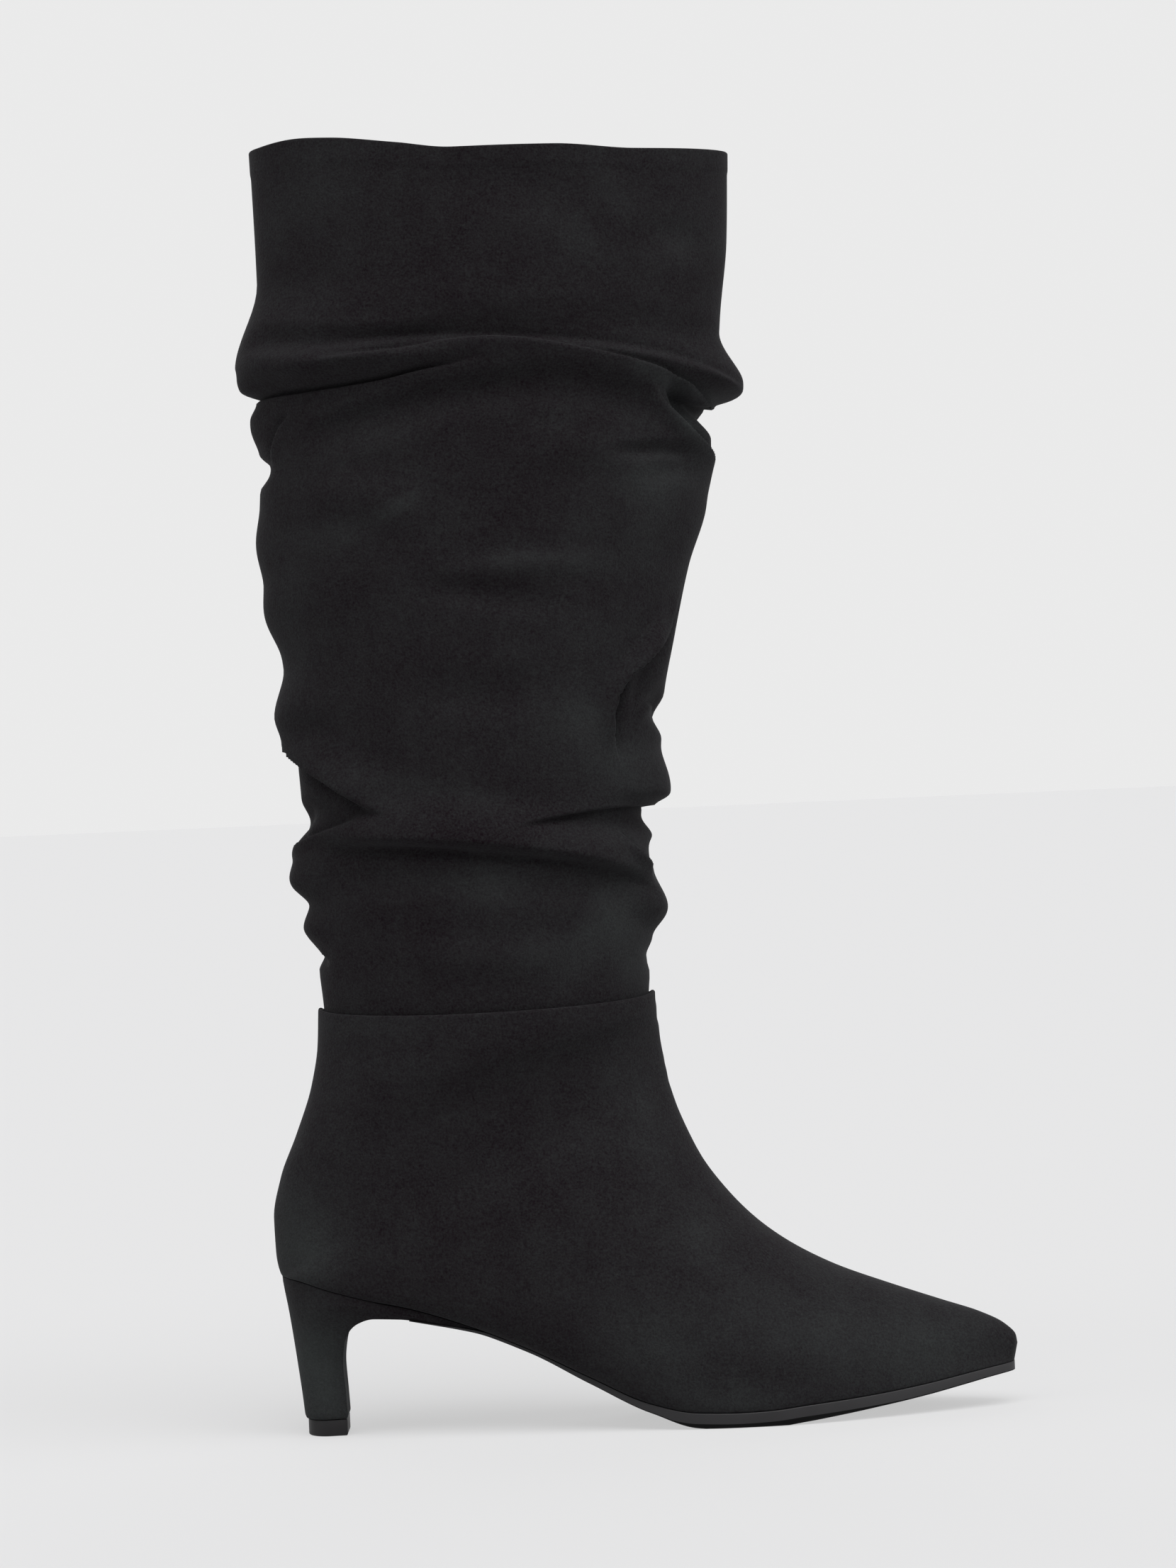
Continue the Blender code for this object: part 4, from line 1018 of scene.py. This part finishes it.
# The lining hangs inside the deepest of the folds around it, on every fifth row and every
# second column
reach = leg_reach
for axis, beside_it in ((0, 5), (1, 2)):
    reach = np.min([np.roll(reach, n, axis=axis) for n in range(-beside_it, beside_it + 1)], axis=0)
keep = np.array(sorted({0, len(heights) - 1, *range(0, len(heights), 5)}, reverse=True))
every = (keep[:, None], np.arange(0, len(turns), 2)[None, :])
inner_z = np.where(height[every] > COLLAR_SETTLES, leg_z[every], height[every] / MM)
inner = leg_point(turn[every], height[every], reach[every] - SHAFT_WALL / MM, inner_z)
facing = outward(outer, True)[-1]
angle = np.linspace(0, math.pi, FOLD_ROUND + 1)[1:-1, None, None]
fold = outer[-1] + SHAFT_WALL / 2 * (np.sin(angle) * (0, 0, 1) - (1 - np.cos(angle)) * facing)
inner[0] = (outer[-1] - SHAFT_WALL * facing)[::2]

# Outer rows and the fold on one grid, the inner rows on another half as fine, and a band of
# one four-sided and one three-sided face in turn that joins them at the collar and the foot
tube = np.concatenate([outer, fold])
many, few = len(turns), len(turns) // 2
faces = join_grid(len(tube), many, False, True).tolist()
base = len(tube) * many
faces += (join_grid(len(inner), few, False, True) + base).tolist()
for fine, coarse, turned in (((len(tube) - 1) * many, base, False), (0, base + (len(inner) - 1) * few, True)):
    for n in range(few):
        a, b, c = (fine + (2 * n + k) % many for k in range(3))
        d, e = coarse + n, coarse + (n + 1) % few
        band = [(a, b, d), (b, c, e, d)]
        faces += [face[::-1] for face in band] if turned else band
leg_points = np.concatenate([tube.reshape(-1, 3), inner.reshape(-1, 3)])
firsts = np.array([face[0] for face in faces])
is_lining = (firsts >= base) & (leg_points[firsts, 2] < COLLAR_HEIGHT - TURNED_IN)
SHAFT_SUEDE = goat_suede("black goat suede, slouched", None)
shaft = add_piece("suede_shaft", leg_points, faces, [SHAFT_SUEDE, LINING], is_lining)
# Patches of the leg painted paler or deeper, listed as for the foot part: some are the nap's own clouds,
# others are painted highlights on ridges and bands and painted shade below them
LEG_NAP_AND_LIGHT = (
    FOOT_NAP_AND_LIGHT[0],
    (12, 417, 12, 10, 0, 0.4),
    (20, 431, 14, 4, 0, 0.3),
    (100, 400, 15, 6, -35, 0.4),
    (116, 411, 11, 6, -35, 0.35),
    (137, 400, 8, 14, -30, 0.35),
    (137, 428, 14, 4, 0, 0.3),
    (55, 392, 34, 14, 0, -0.2),
    (39, 312, 8, 3, 25, 1.0),
    (19, 304, 14, 6, 10, 0.4),
    (89, 291, 26, 4, -4, 0.7),
    (136, 338, 12, 3, -56, 1.2),
    (136, 349, 18, 3, -23, 0.9),
    (74, 285, 28, 5, -8, -0.12),
    (102, 305, 8, 12, 0, 0.3),
    (126, 319, 14, 9, 0, 1.1),
    (119, 300, 12, 9, 0, 0.5),
    (76, 325, 18, 20, 20, -0.25),
    (31, 335, 10, 7, 20, 0.3),
    (100, 264, 22, 16, 0, 0.2),
    (88, 240, 14, 10, 0, 0.3),
    (99, 233, 7, 18, 10, 0.6),
    (112, 224, 10, 12, 0, 0.8),
    (46, 218, 24, 4, -12, 0.5),
    (2, 270, 7, 30, 0, 0.3),
    (65, 181, 10, 8, 0, 0.4),
    (103, 172, 9, 19, -40, 1.0),
    (78, 161, 12, 7, 0, 0.4),
    (113, 158, 8, 14, 0, 0.7),
    (100, 200, 12, 6, -15, 0.3),
    (58, 203, 30, 7, 0, -0.35),
    (62, 187, 40, 5, 0, 0.35),
    (30, 175, 20, 12, 0, -0.2),
)
paint_nap_light(shaft, LEG_NAP_AND_LIGHT)
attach(shaft, "root")
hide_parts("shaft")

# Studio: a pale light table, lit a little from below so that shadows on it stay soft, in a
# white room whose walls it meets at the horizon, with broad lamps above and to each side.

TABLE_REACH = 40.0        # in metres, to where it meets the horizon
TABLE_GLOW = 0.52
WALL_GLOW = 0.826
CEILING_GLOW = 0.16
table_mesh = bpy.data.meshes.new("studio_floor")
corners = [(x * TABLE_REACH, y * TABLE_REACH, 0.0) for x, y in ((-1, -1), (1, -1), (1, 1), (-1, 1))]
table_mesh.from_pydata(corners, [], [(0, 1, 2, 3)])
acrylic, tree, shader, _ = start_material("opal acrylic table")
set_inputs(tree, shader, {"Base Color": linear("#747475"), "Roughness": 1.0, "Specular IOR Level": 0.0,
                          "Emission Color": linear("#ffffff"), "Emission Strength": TABLE_GLOW})
table_mesh.materials.append(acrylic)
put_in_scene("studio_floor", table_mesh)

# The room by the sine of the elevation: white walls low down, a dimmer ceiling above them
world = bpy.data.worlds.new("studio")
world.use_nodes = True
room = world.node_tree
upward = add_node(room, "ShaderNodeTexCoord", {}).outputs["Generated"]
sine = add_node(room, "ShaderNodeSeparateXYZ", {"Vector": upward}).outputs["Z"]
glow = add_node(room, "ShaderNodeMapRange", {"Value": sine, "From Min": 0.15, "From Max": 0.3,
                                             "To Min": WALL_GLOW, "To Max": CEILING_GLOW},
                interpolation_type="SMOOTHSTEP").outputs["Result"]
set_inputs(room, room.nodes["Background"], {"Strength": glow, "Color": linear("#ffffff")})
bpy.context.scene.world = world

# Lamps: the way each faces, its strength and how wide it looks, in degrees
for name, facing, strength, width in (
    ("above", (-0.1, 0.5, -1.0), 3.0, 50),
    ("toe_side", (-1.0, 0.4, -0.6), 1.5, 60),
    ("heel_side", (1.0, 0.4, -0.6), 1.0, 60),
    ("inner_side", (0.1, -1.0, -0.35), 1.4, 70),
):
    light = bpy.data.lights.new(name, "SUN")
    light.energy = strength
    light.angle = math.radians(width)
    lamp = put_in_scene(name, light)
    lamp.rotation_euler = Vector(facing).to_track_quat("-Z", "Y").to_euler()

# Camera: level with the middle of the leg, square to the outer side and rolled, as the
# photograph was turned a little.

CAMERA_PLACE = (0.0978, -1.8, 0.217)
CAMERA_ROLL = -2.5        # in degrees
FOCAL_LENGTH = 121.3      # in mm, on a frame 36 mm tall
lens = bpy.data.cameras.new("camera")
lens.sensor_fit = "VERTICAL"
lens.sensor_height = 36.0
lens.lens = FOCAL_LENGTH
camera = put_in_scene("camera", lens)
upright = Matrix.Rotation(math.radians(90), 4, "X")
rolled = Matrix.Rotation(math.radians(CAMERA_ROLL), 4, "Z")
camera.matrix_world = Matrix.Translation(CAMERA_PLACE) @ upright @ rolled
bpy.context.scene.camera = camera
bpy.context.scene.view_settings.view_transform = "Standard"
